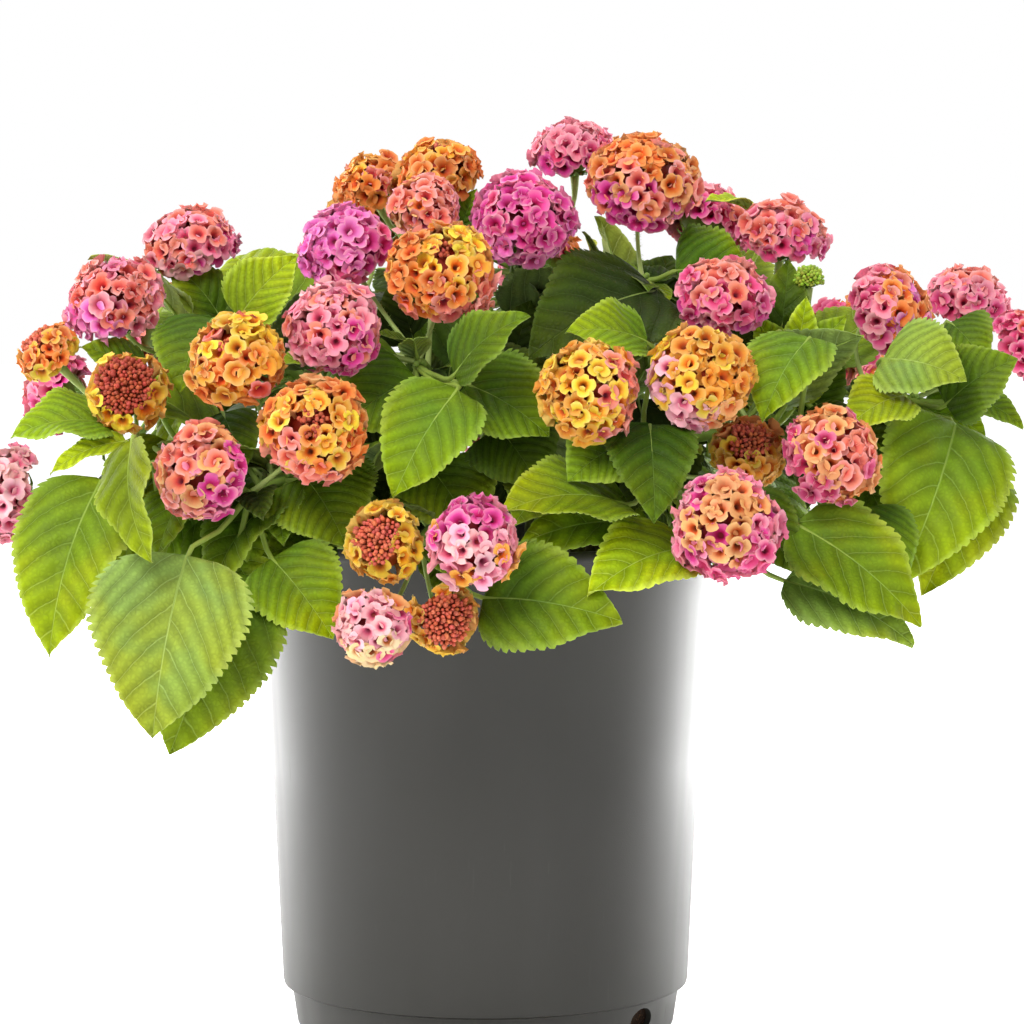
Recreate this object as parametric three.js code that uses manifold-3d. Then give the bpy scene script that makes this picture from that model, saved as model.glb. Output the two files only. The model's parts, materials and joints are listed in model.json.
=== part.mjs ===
// A lantana in flower, growing in a plain 17 cm plastic nursery pot.
// Millimetres, +Z up. The origin is the centre of the pot's flat underside, and the plant's fullest side
// faces -Y. Thirteen leafy stems stand in holes in the soil. Each carries its leaves and flower stalks in
// one body, and every flower head is a body of its own, seated on the end of its stalk.
import * as THREE from 'three';
import { ConvexHull } from 'three/addons/math/ConvexHull.js';
import { mergeVertices } from 'three/addons/utils/BufferGeometryUtils.js';
import Module from 'manifold-3d';

const wasm = await Module();
wasm.setup();

// ---------------------------------------------------------------- driving dimensions

const POT = {
  height: 184,
  rimRadius: 85.6,
  rimDepth: 4.2, // how far the rim's outer band reaches down
  lip: 2.6, // width of the flat lip on top
  wallTopRadius: 84,
  wallFootRadius: 76.4,
  bandRadius: 73, // the band round the foot stands back from the wall
  footRadius: 71,
  bandHeight: 15,
  chamfer: 1.2,
  wall: 2,
  floor: 2.5,
  facets: 32,
};
const DRAIN = {
  width: 13, // of the two slots in the foot band
  low: 3,
  high: 12.6,
  bearings: [53, 233],
  floorRadius: 5, // of the four round holes in the floor
  floorCircle: 46,
  depth: 12,
};
const SOIL = { top: 162, clearance: 0.4, relief: 1.6, rings: [0, 30, 56], facets: POT.facets };
const STEM = {
  foot: 146,
  collar: 167,
  footRadius: 3.2,
  crownRadius: 1.9,
  climb: 0.62, // share of the height that it climbs before it arches over
  lift: 6,
  arrive: 0.4, // share of the reach over which it comes down to its crown
  sides: 4,
  steps: 4,
};
const STALK = { radius: 1.15, cupRadius: 2.3, turn: 0.45, sides: 3, steps: 3 };
const PETIOLE = { radius: 0.95, sides: 3 };
const BLADE = {
  thickness: 1.3,
  tooth: 0.07, // depth of the teeth, in half widths
  widest: 0.3, // where along its length the blade is widest
  arch: 0.24, // rise of the midrib's middle handle, in lengths
  fold: 0.16, // how steeply each half is folded up
  wave: 0.02, // of the edge, in lengths
  short: 42,
  long: 62,
};
const PAIR = {
  petiole: 0.24, // in blade lengths, as is the width
  width: 0.7,
  aside: 0.9, // the way it leaves the stem: aside, ahead and out from the plant's middle
  ahead: 0.4,
  out: 0.35,
  droop: 0.35,
};
const BLOOM = {
  seat: 0.5, // depth of the underside below the head's centre, in head radii
  dome: 0.92, // height of the dome above the centre, in head radii
  skirt: 1.85, // polar angle of the lowest florets, radians
  budEdge: 0.85, // polar angle where the buds of a young head give way to florets
  underside: 2.4, // polar angle of the three plain cells below the florets
  heights: { rim: 1, bud: 0.9, floret: 0.88, under: 0.86, seat: 1, valley: 0.8 }, // in head radii
  lobes: 4,
  spread: 0.49, // how far a floret's rim reaches towards the middle of its nearest neighbour
  area: 32, // share of the squared head radius that goes to one floret
  fewest: 8,
};
const CLEARANCE = 0.3; // air kept between two bodies that touch
const BERTH = 1; // how much wider and thicker than itself a leaf has to be clear
const SWING = { step: 7, rings: 5, spokes: 8 }; // a crowded leaf swings about its foot, in degrees
const SHRINKS = [1, 0.84, 0.7]; // and grows smaller where swinging finds no room

const GOLDEN_ANGLE = Math.PI * (3 - Math.sqrt(5));

// The stages of a head: its main colour, its buds in the middle, and how much of the rest of it is in flower.
const STAGES = {
  green: { colour: 0x86a53a, buds: 9, open: 0 },
  young: { colour: 0xd9702c, buds: 6, open: 0.85 },
  gold: { colour: 0xf0a02c, buds: 0, open: 1 },
  sunset: { colour: 0xee8553, buds: 0, open: 1 },
  salmon: { colour: 0xe8807c, buds: 0, open: 1 },
  rose: { colour: 0xd8568f, buds: 0, open: 1 },
  magenta: { colour: 0xc33791, buds: 0, open: 1 },
};

// Each shoot: where its stem stands in the soil, where it ends, how far its end droops, its flower heads,
// its leaves set one by one, and its pairs of leaves set by rule.
// head: [name, centre, radius, way it faces, stage, how far up the stem its stalk starts]
// leaf: [base of the blade, tip, width, way the upper side faces]
// pair: [how far up the stem, turn about it in degrees, length]
const SHOOTS = [
  {
    name: 'shoot_low_left', foot: [-34, -20], crown: [-122, -86, 214], droop: 14,
    heads: [
      ['a', [-157, -50, 253], 11.5, [-0.6, -0.3, 0.7], 'young', 0.9],
      ['b', [-126, -80, 241], 14.5, [-0.1, -1, 0.45], 'young', 1],
      ['c', [-172, -60, 203], 17.5, [-0.85, -0.45, 0.25], 'salmon', 1],
    ],
    leaves: [
      [[-134, -95, 211], [-150, -120, 151], 44, [-0.3, -0.9, 0.35]],
      [[-120, -128, 227], [-112, -142, 186], 30, [-0.75, -0.62, 0.15]],
      [[-132, -75, 229], [-167, -86, 225], 36, [0, -0.45, 0.9]],
      [[-79, -70, 212], [-76, -84, 180], 42, [0.1, -0.85, 0.45]],
    ],
    pairs: [[0.45, 20, 52], [0.72, 100, 48]],
  },
  {
    name: 'shoot_left', foot: [-37, -3], crown: [-108, -14, 252], droop: 12,
    heads: [
      ['a', [-109, -8, 291], 17.5, [-0.25, -0.35, 0.9], 'rose', 0.95],
      ['b', [-134, -40, 271], 19, [-0.25, -0.5, 0.85], 'salmon', 0.9],
      ['c', [-160, 16, 236], 16, [-0.9, 0.2, 0.4], 'rose', 1],
    ],
    leaves: [
      [[-98, -46, 266], [-108, -74, 240], 34, [-0.3, -0.8, 0.5]],
      [[-90, -30, 266], [-69, -27, 288], 27, [0.1, -0.8, 0.6]],
      [[-88, 12, 206], [-120, 16, 158], 46, [-0.9, 0.1, 0.4]],
      [[-92, -24, 214], [-132, -28, 178], 44, [-0.8, -0.2, 0.5]],
      [[-58, 14, 244], [-78, 42, 236], 44, [-0.3, 0.4, 0.85]],
    ],
    pairs: [[0.5, 60, 54], [0.78, 150, 50], [0.97, 75, 44]],
  },
  {
    name: 'shoot_front_left', foot: [-25, -30], crown: [-82, -95, 206], droop: 14,
    heads: [
      ['a', [-86, -99, 253], 17.6, [-0.25, -0.9, 0.45], 'gold', 0.9],
      ['b', [-58, -116, 230], 19, [0, -1, 0.2], 'gold', 1],
      ['c', [-97, -113, 215], 17.6, [-0.6, -0.8, 0.25], 'sunset', 1],
    ],
    leaves: [
      [[-102, -124, 187], [-113, -136, 125], 56, [-0.1, -0.95, 0.3]],
      [[-88, -107, 181], [-109, -118, 117], 49, [0.25, -0.92, 0.3]],
      [[-74, -103, 184], [-52, -115, 157], 36, [0, -0.85, 0.5]],
      [[-63, -86, 211], [-48, -100, 188], 44, [0.1, -0.85, 0.5]],
    ],
    pairs: [[0.5, 10, 50], [0.8, 90, 46]],
  },
  {
    name: 'shoot_low_front', foot: [-7, -38], crown: [-22, -93, 189], droop: 12,
    heads: [
      ['a', [-34, -118, 191], 14, [-0.3, -0.95, 0.2], 'young', 0.9],
      ['b', [-3, -134, 192], 16, [0.15, -0.95, 0.3], 'rose', 1],
      ['c', [-38, -131, 163], 13.5, [-0.3, -0.9, -0.1], 'salmon', 1],
      ['d', [-14, -118, 165], 12.5, [0.2, -0.95, 0], 'young', 1],
    ],
    leaves: [
      [[0, -112, 171], [48, -124, 164], 42, [0, -0.88, 0.45]],
      [[-20, -70, 214], [-3, -86, 189], 40, [0.1, -0.8, 0.55]],
      [[-52, -88, 187], [-78, -94, 184], 30, [0, -0.7, 0.7]],
    ],
    pairs: [],
  },
  {
    name: 'shoot_mid_front', foot: [-13, -18], crown: [-24, -72, 250], droop: 6,
    heads: [
      ['a', [-52, -90, 264], 17.4, [-0.15, -0.95, 0.3], 'rose', 0.9],
      ['b', [-50, -54, 291], 17.3, [-0.35, -0.6, 0.7], 'magenta', 0.8],
      ['c', [-15, -76, 283], 20, [0.05, -0.8, 0.6], 'sunset', 1],
      ['d', [-22, -35, 306], 13, [-0.1, -0.7, 0.7], 'salmon', 0.75],
    ],
    leaves: [
      [[-9, -103, 243], [-31, -119, 206], 36, [-0.2, -0.9, 0.35]],
      [[-10, -98, 248], [16, -106, 269], 28, [0.1, -0.6, 0.75]],
      [[-24, -76, 246], [-50, -84, 228], 40, [-0.2, -0.85, 0.45]],
      [[-6, -84, 244], [23, -92, 226], 38, [0, -0.8, 0.6]],
      [[5, -78, 228], [20, -88, 207], 36, [0, -0.8, 0.6]],
    ],
    pairs: [[0.42, 90, 50], [0.65, 0, 48]],
  },
  {
    name: 'shoot_top', foot: [3, -4], crown: [12, -2, 284], droop: -4,
    heads: [
      ['a', [-43, 12, 314], 13.5, [-0.35, -0.25, 0.9], 'gold', 0.9],
      ['b', [-17, -4, 318], 15.2, [0, -0.4, 0.9], 'gold', 1],
      ['c', [14, -45, 301], 19, [0.1, -0.75, 0.6], 'magenta', 0.95],
      ['d', [33, 28, 326], 15.5, [-0.1, -0.2, 0.95], 'rose', 1],
    ],
    leaves: [
      [[-10, 24, 276], [-42, 54, 270], 46, [-0.3, 0.3, 0.9]],
      [[20, 14, 272], [46, 46, 268], 44, [0.3, 0.3, 0.9]],
      [[-18, 8, 268], [-58, 18, 262], 46, [-0.3, 0.1, 0.95]],
      [[0, 20, 268], [-4, 60, 262], 44, [0, 0.4, 0.9]],
    ],
    pairs: [[0.5, 20, 52], [0.68, 110, 52]],
  },
  {
    name: 'shoot_upper_right', foot: [17, -15], crown: [58, -22, 279], droop: -6,
    heads: [['a', [58, -20, 314], 22, [0.1, -0.6, 0.8], 'sunset', 1]],
    leaves: [
      [[62, -40, 277], [12, -72, 260], 50, [-0.1, -0.75, 0.65]],
      [[70, -28, 283], [102, -18, 278], 40, [0, -0.7, 0.7]],
    ],
    pairs: [],
  },
  {
    name: 'shoot_front_right', foot: [15, -33], crown: [62, -77, 211], droop: 12,
    heads: [
      ['a', [37, -105, 242], 18.4, [-0.1, -0.95, 0.35], 'gold', 1],
      ['b', [76, -95, 247], 19, [0.15, -0.9, 0.45], 'gold', 1],
      ['c', [94, -72, 219], 13.5, [0.05, -0.8, 0.6], 'young', 0.95],
      ['d', [84, -122, 197], 19.5, [-0.05, -1, 0.1], 'salmon', 1],
    ],
    leaves: [
      [[107, -100, 195], [148, -116, 159], 38, [0.1, -0.85, 0.5]],
      [[73, -98, 187], [36, -126, 173], 38, [-0.1, -0.7, 0.7]],
      [[50, -96, 200], [5, -114, 193], 44, [0, -0.5, 0.87]],
      [[58, -98, 228], [59, -118, 193], 32, [0, -0.9, 0.4]],
      [[48, -90, 224], [26, -101, 211], 34, [0, -0.8, 0.6]],
      [[61, -84, 258], [33, -96, 262], 28, [0, -0.75, 0.65]],
    ],
    pairs: [[0.5, 0, 48]],
  },
  {
    name: 'shoot_right_front', foot: [32, -19], crown: [112, -66, 224], droop: 10,
    heads: [
      ['a', [122, -95, 219], 18, [0.45, -0.85, 0.35], 'sunset', 0.95],
      ['b', [86, -55, 273], 17.5, [0.1, -0.5, 0.85], 'rose', 0.85],
      ['c', [111, 0, 295], 17, [0.1, -0.25, 0.95], 'salmon', 0.75],
      ['d', [119, -24, 280], 6, [0, -0.2, 1], 'green', 0.8],
    ],
    leaves: [
      [[132, -86, 201], [145, -96, 173], 30, [0.5, -0.8, 0.2]],
      [[116, -72, 260], [98, -93, 231], 32, [-0.4, -0.85, 0.3]],
      [[150, -66, 239], [128, -82, 228], 26, [0, -0.7, 0.7]],
    ],
    pairs: [[0.5, 30, 52], [0.8, 120, 48]],
  },
  {
    name: 'shoot_right', foot: [38, -3], crown: [156, -32, 236], droop: 12,
    heads: [
      ['a', [147, -30, 268], 17.5, [0.75, -0.5, 0.5], 'sunset', 0.9],
      ['b', [181, 10, 270], 16, [0.15, -0.2, 0.95], 'rose', 1],
      ['c', [197, -24, 255], 13.5, [0.8, -0.3, 0.5], 'rose', 1],
    ],
    leaves: [
      [[141, -58, 250], [168, -74, 241], 36, [0, -0.85, 0.5]],
      [[167, -50, 235], [192, -56, 252], 32, [0.1, -0.75, 0.65]],
      [[179, -15, 256], [186, -28, 238], 24, [0.2, -0.8, 0.5]],
      [[171, -46, 228], [148, -76, 172], 50, [0.15, -0.95, 0.25]],
      [[96, -6, 204], [132, -14, 162], 46, [0.85, -0.1, 0.5]],
    ],
    pairs: [[0.5, 10, 54], [0.74, 95, 52], [0.96, 20, 46]],
  },
  {
    name: 'shoot_back_left', foot: [-24, 18], crown: [-84, 50, 246], droop: 10,
    heads: [
      ['a', [-126, 60, 260], 18, [-0.7, 0.5, 0.6], 'sunset', 1],
      ['b', [-80, 100, 250], 19, [-0.5, 0.8, 0.4], 'rose', 1],
      ['c', [-46, 66, 298], 17.5, [-0.2, 0.5, 0.85], 'gold', 0.9],
    ],
    leaves: [
      [[-66, 62, 206], [-96, 97, 160], 48, [-0.6, 0.6, 0.5]],
      [[-86, 38, 212], [-126, 50, 172], 46, [-0.8, 0.3, 0.5]],
      [[-44, 76, 204], [-58, 118, 162], 46, [-0.3, 0.85, 0.4]],
    ],
    pairs: [[0.5, 90, 60], [0.68, 0, 64], [0.84, 90, 60]],
  },
  {
    name: 'shoot_back', foot: [4, 26], crown: [6, 84, 232], droop: 12,
    heads: [
      ['a', [0, 132, 222], 18.5, [0, 0.95, 0.3], 'magenta', 1],
      ['b', [22, 96, 282], 18, [0.1, 0.7, 0.7], 'sunset', 0.95],
    ],
    leaves: [
      [[-10, 86, 200], [-20, 128, 156], 46, [-0.2, 0.85, 0.4]],
      [[24, 84, 200], [38, 126, 154], 48, [0.2, 0.85, 0.4]],
    ],
    pairs: [[0.5, 0, 60], [0.68, 90, 64], [0.84, 0, 60]],
  },
  {
    name: 'shoot_back_right', foot: [27, 17], crown: [92, 48, 244], droop: 10,
    heads: [
      ['a', [76, 112, 246], 18, [0.4, 0.85, 0.35], 'gold', 1],
      ['b', [84, 54, 300], 17, [0.3, 0.35, 0.9], 'rose', 0.95],
      ['c', [138, 62, 254], 18, [0.75, 0.5, 0.45], 'sunset', 1],
    ],
    leaves: [
      [[103, 24, 301], [82, 14, 305], 24, [0, -0.25, 0.95]],
      [[64, 14, 252], [98, 6, 244], 44, [0.2, -0.1, 0.95]],
      [[62, 68, 206], [84, 108, 160], 46, [0.4, 0.75, 0.45]],
      [[86, 44, 210], [126, 66, 166], 48, [0.75, 0.5, 0.4]],
      [[90, 18, 206], [132, 20, 160], 46, [0.9, 0, 0.4]],
    ],
    pairs: [[0.5, 90, 60], [0.68, 0, 64], [0.84, 90, 60], [0.98, 10, 50]],
  },
];

// ---------------------------------------------------------------- meshes and solids

const UP = new THREE.Vector3(0, 0, 1);
const ACROSS = new THREE.Vector3(1, 0, 0);
const vector = (xyz) => new THREE.Vector3(...xyz);
const along = (from, direction, distance) => from.clone().addScaledVector(direction, distance);

// A geometry from its points and its triangles, given as indices.
function shell(points, triangles) {
  const geometry = new THREE.BufferGeometry().setFromPoints(points);
  geometry.setIndex(triangles.flat());
  return geometry;
}

// A geometry as a closed solid, turned right side out if its faces point inwards.
function solidOf(geometry) {
  const bare = new THREE.BufferGeometry().setAttribute('position', geometry.getAttribute('position'));
  bare.setIndex(geometry.index);
  const merged = mergeVertices(bare, 1e-4);
  const triVerts = new Uint32Array(merged.index.array);
  const vertProperties = merged.attributes.position.array;
  const solid = new wasm.Manifold(new wasm.Mesh({ numProp: 3, vertProperties, triVerts }));
  if (solid.volume() >= 0) return solid;
  for (let i = 0; i < triVerts.length; i += 3) {
    [triVerts[i + 1], triVerts[i + 2]] = [triVerts[i + 2], triVerts[i + 1]];
  }
  return new wasm.Manifold(new wasm.Mesh({ numProp: 3, vertProperties, triVerts }));
}

function geometryOf(solid) {
  const { vertProperties, triVerts } = solid.getMesh();
  const geometry = new THREE.BufferGeometry();
  geometry.setAttribute('position', new THREE.BufferAttribute(vertProperties, 3));
  geometry.setIndex(new THREE.BufferAttribute(triVerts, 1));
  return geometry;
}

// The largest of the bodies that a solid falls into.
function wholeBody(solid) {
  return solid.decompose().reduce((best, body) => (body.volume() > best.volume() ? body : best));
}

function boxOf(solid) {
  const { min, max } = solid.boundingBox();
  return new THREE.Box3(vector(min), vector(max));
}

// A closed tube through rings of equally many points, flat at both ends.
function loft(rings) {
  const sides = rings[0].length;
  const triangles = [];
  for (let r = 0; r + 1 < rings.length; r++) {
    for (let s = 0; s < sides; s++) {
      const a = r * sides + s;
      const b = r * sides + ((s + 1) % sides);
      triangles.push([a, b, b + sides], [a, b + sides, a + sides]);
    }
  }
  const last = (rings.length - 1) * sides;
  for (let s = 1; s + 1 < sides; s++) {
    triangles.push([0, s + 1, s], [last, last + s, last + s + 1]);
  }
  return shell(rings.flat(), triangles);
}

// A regular ring of points round a centre, in the plane of two directions.
function ring(centre, across, over, radius, sides) {
  return Array.from({ length: sides }, (_, s) => {
    const angle = (2 * Math.PI * s) / sides;
    return along(along(centre, across, radius * Math.cos(angle)), over, radius * Math.sin(angle));
  });
}

// ---------------------------------------------------------------- pot and soil

// The pot's inner face, from the floor to just under the rim: [radius, height].
const potInside = [
  [POT.footRadius - POT.wall, POT.floor],
  [POT.bandRadius - POT.wall, POT.bandHeight - 1],
  [POT.wallFootRadius - POT.wall, POT.bandHeight + 5],
  [POT.wallTopRadius - POT.wall, POT.height - POT.rimDepth],
];

// A profile of [radius, height] turned about the upright axis.
function turned(profile, facets) {
  const points = profile.map(([radius, height]) => new THREE.Vector2(radius, height));
  return new THREE.LatheGeometry(points, facets).rotateX(Math.PI / 2);
}

function potSolid() {
  const outside = [
    [0, 0],
    [POT.footRadius, 0],
    [POT.bandRadius, POT.bandHeight - POT.chamfer],
    [POT.wallFootRadius - 1, POT.bandHeight],
    [POT.wallFootRadius, POT.bandHeight + 2 * POT.chamfer],
    [POT.wallTopRadius, POT.height - POT.rimDepth - POT.chamfer],
    [POT.rimRadius, POT.height - POT.rimDepth],
    [POT.rimRadius, POT.height],
    [POT.rimRadius - POT.lip, POT.height],
  ];
  let pot = solidOf(turned([...outside, ...[...potInside].reverse(), [0, POT.floor]], POT.facets));
  for (const bearing of DRAIN.bearings) pot = pot.subtract(drainSlot(bearing));
  for (let quarter = 0; quarter < 4; quarter++) pot = pot.subtract(floorDrain(45 + 90 * quarter));
  return pot;
}

// A round-ended slot through the foot band, on a bearing from the front towards +X.
function drainSlot(bearing) {
  const radius = (DRAIN.high - DRAIN.low) / 2;
  const reach = DRAIN.width / 2 - radius;
  const outline = new THREE.Shape();
  outline.absarc(reach, 0, radius, -Math.PI / 2, Math.PI / 2, false);
  outline.absarc(-reach, 0, radius, Math.PI / 2, (3 * Math.PI) / 2, false);
  const options = { depth: DRAIN.depth, bevelEnabled: false, curveSegments: 4 };
  const slot = new THREE.ExtrudeGeometry(outline, options);
  slot.rotateX(Math.PI / 2).translate(0, DRAIN.depth / 2 - POT.bandRadius, DRAIN.low + radius);
  return solidOf(slot.rotateZ(THREE.MathUtils.degToRad(bearing)));
}

function floorDrain(bearing) {
  const hole = new THREE.CylinderGeometry(DRAIN.floorRadius, DRAIN.floorRadius, DRAIN.depth, 10);
  hole.rotateX(Math.PI / 2).translate(0, -DRAIN.floorCircle, 0);
  return solidOf(hole.rotateZ(THREE.MathUtils.degToRad(bearing)));
}

// How far the soil's surface stands above or below its mean level.
function soilRelief(x, y) {
  return SOIL.relief * (0.5 * Math.sin(x / 5.1 + 1.3 * Math.sin(y / 9)) + 0.5 * Math.sin(y / 6.3 + x / 11));
}

function soilSolid() {
  const shrunk = potInside.map(([radius, height]) => [radius - SOIL.clearance, height]);
  const [foot, band, shoulder, top] = shrunk;
  const rise = (SOIL.top - shoulder[1]) / (top[1] - shoulder[1]);
  const edge = [THREE.MathUtils.lerp(shoulder[0], top[0], rise), SOIL.top];
  const surface = [...SOIL.rings].reverse().map((radius) => [radius, SOIL.top]);
  const side = [[0, foot[1] + SOIL.clearance], [foot[0], foot[1] + SOIL.clearance], band, shoulder, edge];
  const soil = turned([...side, ...surface], SOIL.facets);
  const position = soil.getAttribute('position');
  for (let i = 0; i < position.count; i++) {
    const [x, y, z] = [position.getX(i), position.getY(i), position.getZ(i)];
    const inner = Math.hypot(x, y) < edge[0] - 4;
    if (inner && z > SOIL.top - 1) position.setZ(i, z + soilRelief(x, y));
  }
  return solidOf(soil);
}

// ---------------------------------------------------------------- stems and flower stalks

// A stem stands straight up out of the soil, then arches out to its crown.
function stemCurve({ foot, crown, droop }) {
  const start = vector([...foot, STEM.collar]);
  const end = vector(crown);
  const rise = along(start, UP, STEM.climb * (end.z - start.z) + STEM.lift);
  const arrive = end.clone().lerp(start, STEM.arrive).setZ(end.z + droop);
  return new THREE.CubicBezierCurve3(start, rise, arrive, end);
}

function stemRadius(t) {
  return THREE.MathUtils.lerp(STEM.footRadius, STEM.crownRadius, t);
}

// A tube along a flat curve. square is the direction square to the curve's plane.
function tubeAlong(curve, square, radiusAt, sides, steps) {
  return Array.from({ length: steps + 1 }, (_, k) => {
    const t = k / steps;
    const over = new THREE.Vector3().crossVectors(curve.getTangent(t), square).normalize();
    return ring(curve.getPoint(t), square, over, radiusAt(t), sides);
  });
}

function stemSolid(shoot) {
  const curve = stemCurve(shoot);
  const rings = tubeAlong(curve, squareTo(shoot), stemRadius, STEM.sides, STEM.steps);
  const drop = new THREE.Vector3(0, 0, STEM.foot - STEM.collar);
  return solidOf(loft([rings[0].map((point) => point.clone().add(drop)), ...rings]));
}

// The level direction that is square to the plane of a shoot's stem.
function squareTo({ foot, crown }) {
  return new THREE.Vector3(foot[1] - crown[1], crown[0] - foot[0], 0).normalize();
}

// The straight hole that a stem stands in.
function stemHole(shoot) {
  const across = squareTo(shoot);
  const over = new THREE.Vector3().crossVectors(UP, across);
  const ends = [STEM.foot - CLEARANCE, STEM.collar + CLEARANCE].map((height) => {
    return ring(vector([...shoot.foot, height]), across, over, STEM.footRadius + 2 * CLEARANCE, STEM.sides);
  });
  return solidOf(loft(ends));
}

// A stalk leaves the stem and turns into the line of the head that it carries.
function stalkCurve(stem, { centre, axis, radius, from }) {
  const start = stem.getPoint(from);
  const end = along(centre, axis, -(BLOOM.seat * radius + CLEARANCE));
  const turn = along(end, axis, -STALK.turn * start.distanceTo(end));
  return new THREE.QuadraticBezierCurve3(start, turn, end);
}

function stalkSolid(stem, head) {
  const curve = stalkCurve(stem, head);
  const square = new THREE.Vector3().crossVectors(
    curve.v1.clone().sub(curve.v0),
    curve.v2.clone().sub(curve.v1),
  ).normalize();
  const radiusAt = (t) => (t > 0.99 ? STALK.cupRadius : STALK.radius);
  return solidOf(loft(tubeAlong(curve, square, radiusAt, STALK.sides, STALK.steps)));
}

// ---------------------------------------------------------------- flower heads

function headOf(shoot, [name, at, radius, facing, stage, from]) {
  return {
    name: `${shoot.name.replace('shoot', 'bloom')}_${name}`,
    centre: vector(at),
    axis: vector(facing).normalize(),
    radius,
    stage,
    from,
  };
}

// Directions spread evenly over a band of the sphere between two polar angles.
function spread(count, from, to, turn) {
  return Array.from({ length: count }, (_, i) => {
    const height = THREE.MathUtils.lerp(Math.cos(from), Math.cos(to), (i + 0.5) / count);
    const angle = turn + i * GOLDEN_ANGLE;
    const out = Math.sqrt(1 - height * height);
    return new THREE.Vector3(out * Math.cos(angle), out * Math.sin(angle), height);
  });
}

// The cells of a head: buds in the middle, open florets round them, and the plain underside.
function headCells({ stage, radius }) {
  const { buds, open } = STAGES[stage];
  const florets = Math.round(open * Math.max(BLOOM.fewest, radius ** 2 / BLOOM.area));
  const budEdge = florets ? BLOOM.budEdge : BLOOM.skirt;
  const cells = [];
  for (const way of spread(buds, 0, budEdge, 0)) cells.push({ way, kind: 'bud' });
  for (const way of spread(florets, buds ? budEdge : 0, BLOOM.skirt, 1)) cells.push({ way, kind: 'floret' });
  for (let k = 0; k < 3; k++) {
    const way = new THREE.Vector3().setFromSphericalCoords(1, BLOOM.underside, (2 * Math.PI * k) / 3);
    cells.push({ way: way.applyAxisAngle(ACROSS, Math.PI / 2), kind: 'under' });
  }
  cells.push({ way: UP.clone().negate(), kind: 'seat' });
  return cells;
}

// The corners where three neighbouring cells meet, gathered in order round each cell.
function cellCorners(cells) {
  const index = new Map(cells.map((cell, i) => [cell.way, i]));
  const hull = new ConvexHull().setFromPoints(cells.map((cell) => cell.way));
  const corners = [];
  const round = cells.map(() => []);
  for (const face of hull.faces) {
    const met = [face.edge, face.edge.next, face.edge.prev].map((edge) => edge.head().point);
    const way = met.reduce((sum, point) => sum.add(point), new THREE.Vector3()).normalize();
    for (const point of met) round[index.get(point)].push(corners.length);
    corners.push(way);
  }
  return { corners, round };
}

// Two directions square to a third and to each other.
function planeRound(middle) {
  const aside = Math.abs(middle.z) < 0.9 ? UP : ACROSS;
  const across = new THREE.Vector3().crossVectors(aside, middle).normalize();
  return { across, over: new THREE.Vector3().crossVectors(middle, across) };
}

// The angle of a direction round another one, counter-clockwise as seen from outside.
function bearingRound(way, middle) {
  const { across, over } = planeRound(middle);
  return Math.atan2(way.dot(over), way.dot(across));
}

// Triangles between an inner and an outer ring, each a list of [index, bearing] in order of bearing.
function stitch(inner, outer) {
  const triangles = [];
  const step = (list, i) => list[i % list.length][1] + 2 * Math.PI * Math.floor(i / list.length);
  let [i, o] = [0, 0];
  while (i < inner.length || o < outer.length) {
    const a = inner[i % inner.length][0];
    const b = outer[o % outer.length][0];
    const inward = i < inner.length && (o >= outer.length || step(inner, i + 1) < step(outer, o + 1));
    if (inward) {
      triangles.push([a, b, inner[(i + 1) % inner.length][0]]);
      i += 1;
    } else {
      triangles.push([a, b, outer[(o + 1) % outer.length][0]]);
      o += 1;
    }
  }
  return triangles;
}

function headSolid(head) {
  const cells = headCells(head);
  const { corners, round } = cellCorners(cells);
  const facing = new THREE.Quaternion().setFromUnitVectors(UP, head.axis);
  const points = [];
  const put = (way, height) => {
    const flat = way.z > 0 ? BLOOM.dome : BLOOM.seat;
    const place = new THREE.Vector3(way.x, way.y, way.z * flat).multiplyScalar(head.radius * height);
    points.push(place.applyQuaternion(facing).add(head.centre));
    return points.length - 1;
  };
  const valleys = corners.map((way) => put(way, BLOOM.heights.valley));
  const triangles = [];
  cells.forEach(({ way, kind }, c) => {
    const edge = round[c]
      .map((corner) => [valleys[corner], bearingRound(corners[corner], way)])
      .sort((a, b) => a[1] - b[1]);
    const middle = put(way, BLOOM.heights[kind]);
    if (kind !== 'floret') {
      edge.forEach(([corner], k) => triangles.push([middle, corner, edge[(k + 1) % edge.length][0]]));
      return;
    }
    const lobes = floretLobes(way, BLOOM.spread * nearestAngle(way, cells), corners[round[c][0]], put);
    lobes.forEach(([lobe], k) => triangles.push([middle, lobe, lobes[(k + 1) % lobes.length][0]]));
    triangles.push(...stitch(lobes, edge));
  });
  return solidOf(shell(points, triangles));
}

function nearestAngle(way, cells) {
  return Math.min(...cells.filter((cell) => cell.way !== way).map((cell) => cell.way.angleTo(way)));
}

// The raised rim of one floret, inside its cell. The first lobe lies towards one of the cell's corners.
function floretLobes(way, reach, corner, put) {
  const first = bearingRound(corner, way);
  const { across, over } = planeRound(way);
  return Array.from({ length: BLOOM.lobes }, (_, k) => {
    const turn = first + (2 * Math.PI * k) / BLOOM.lobes;
    const bearing = THREE.MathUtils.euclideanModulo(turn + Math.PI, 2 * Math.PI) - Math.PI;
    const lean = across.clone().multiplyScalar(Math.cos(bearing)).addScaledVector(over, Math.sin(bearing));
    const lobe = way.clone().multiplyScalar(Math.cos(reach)).addScaledVector(lean, Math.sin(reach));
    return [put(lobe, BLOOM.heights.rim), bearing];
  }).sort((a, b) => a[1] - b[1]);
}

// ---------------------------------------------------------------- leaves

// Half the blade's width at a share t of its length, in half widths: broad near the base, drawn out to
// the tip.
function bladeOutline(t) {
  const shape = (s) => s ** 0.4 * (1 - s) ** (0.4 / BLADE.widest - 0.4);
  return shape(t) / shape(BLADE.widest);
}

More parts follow.
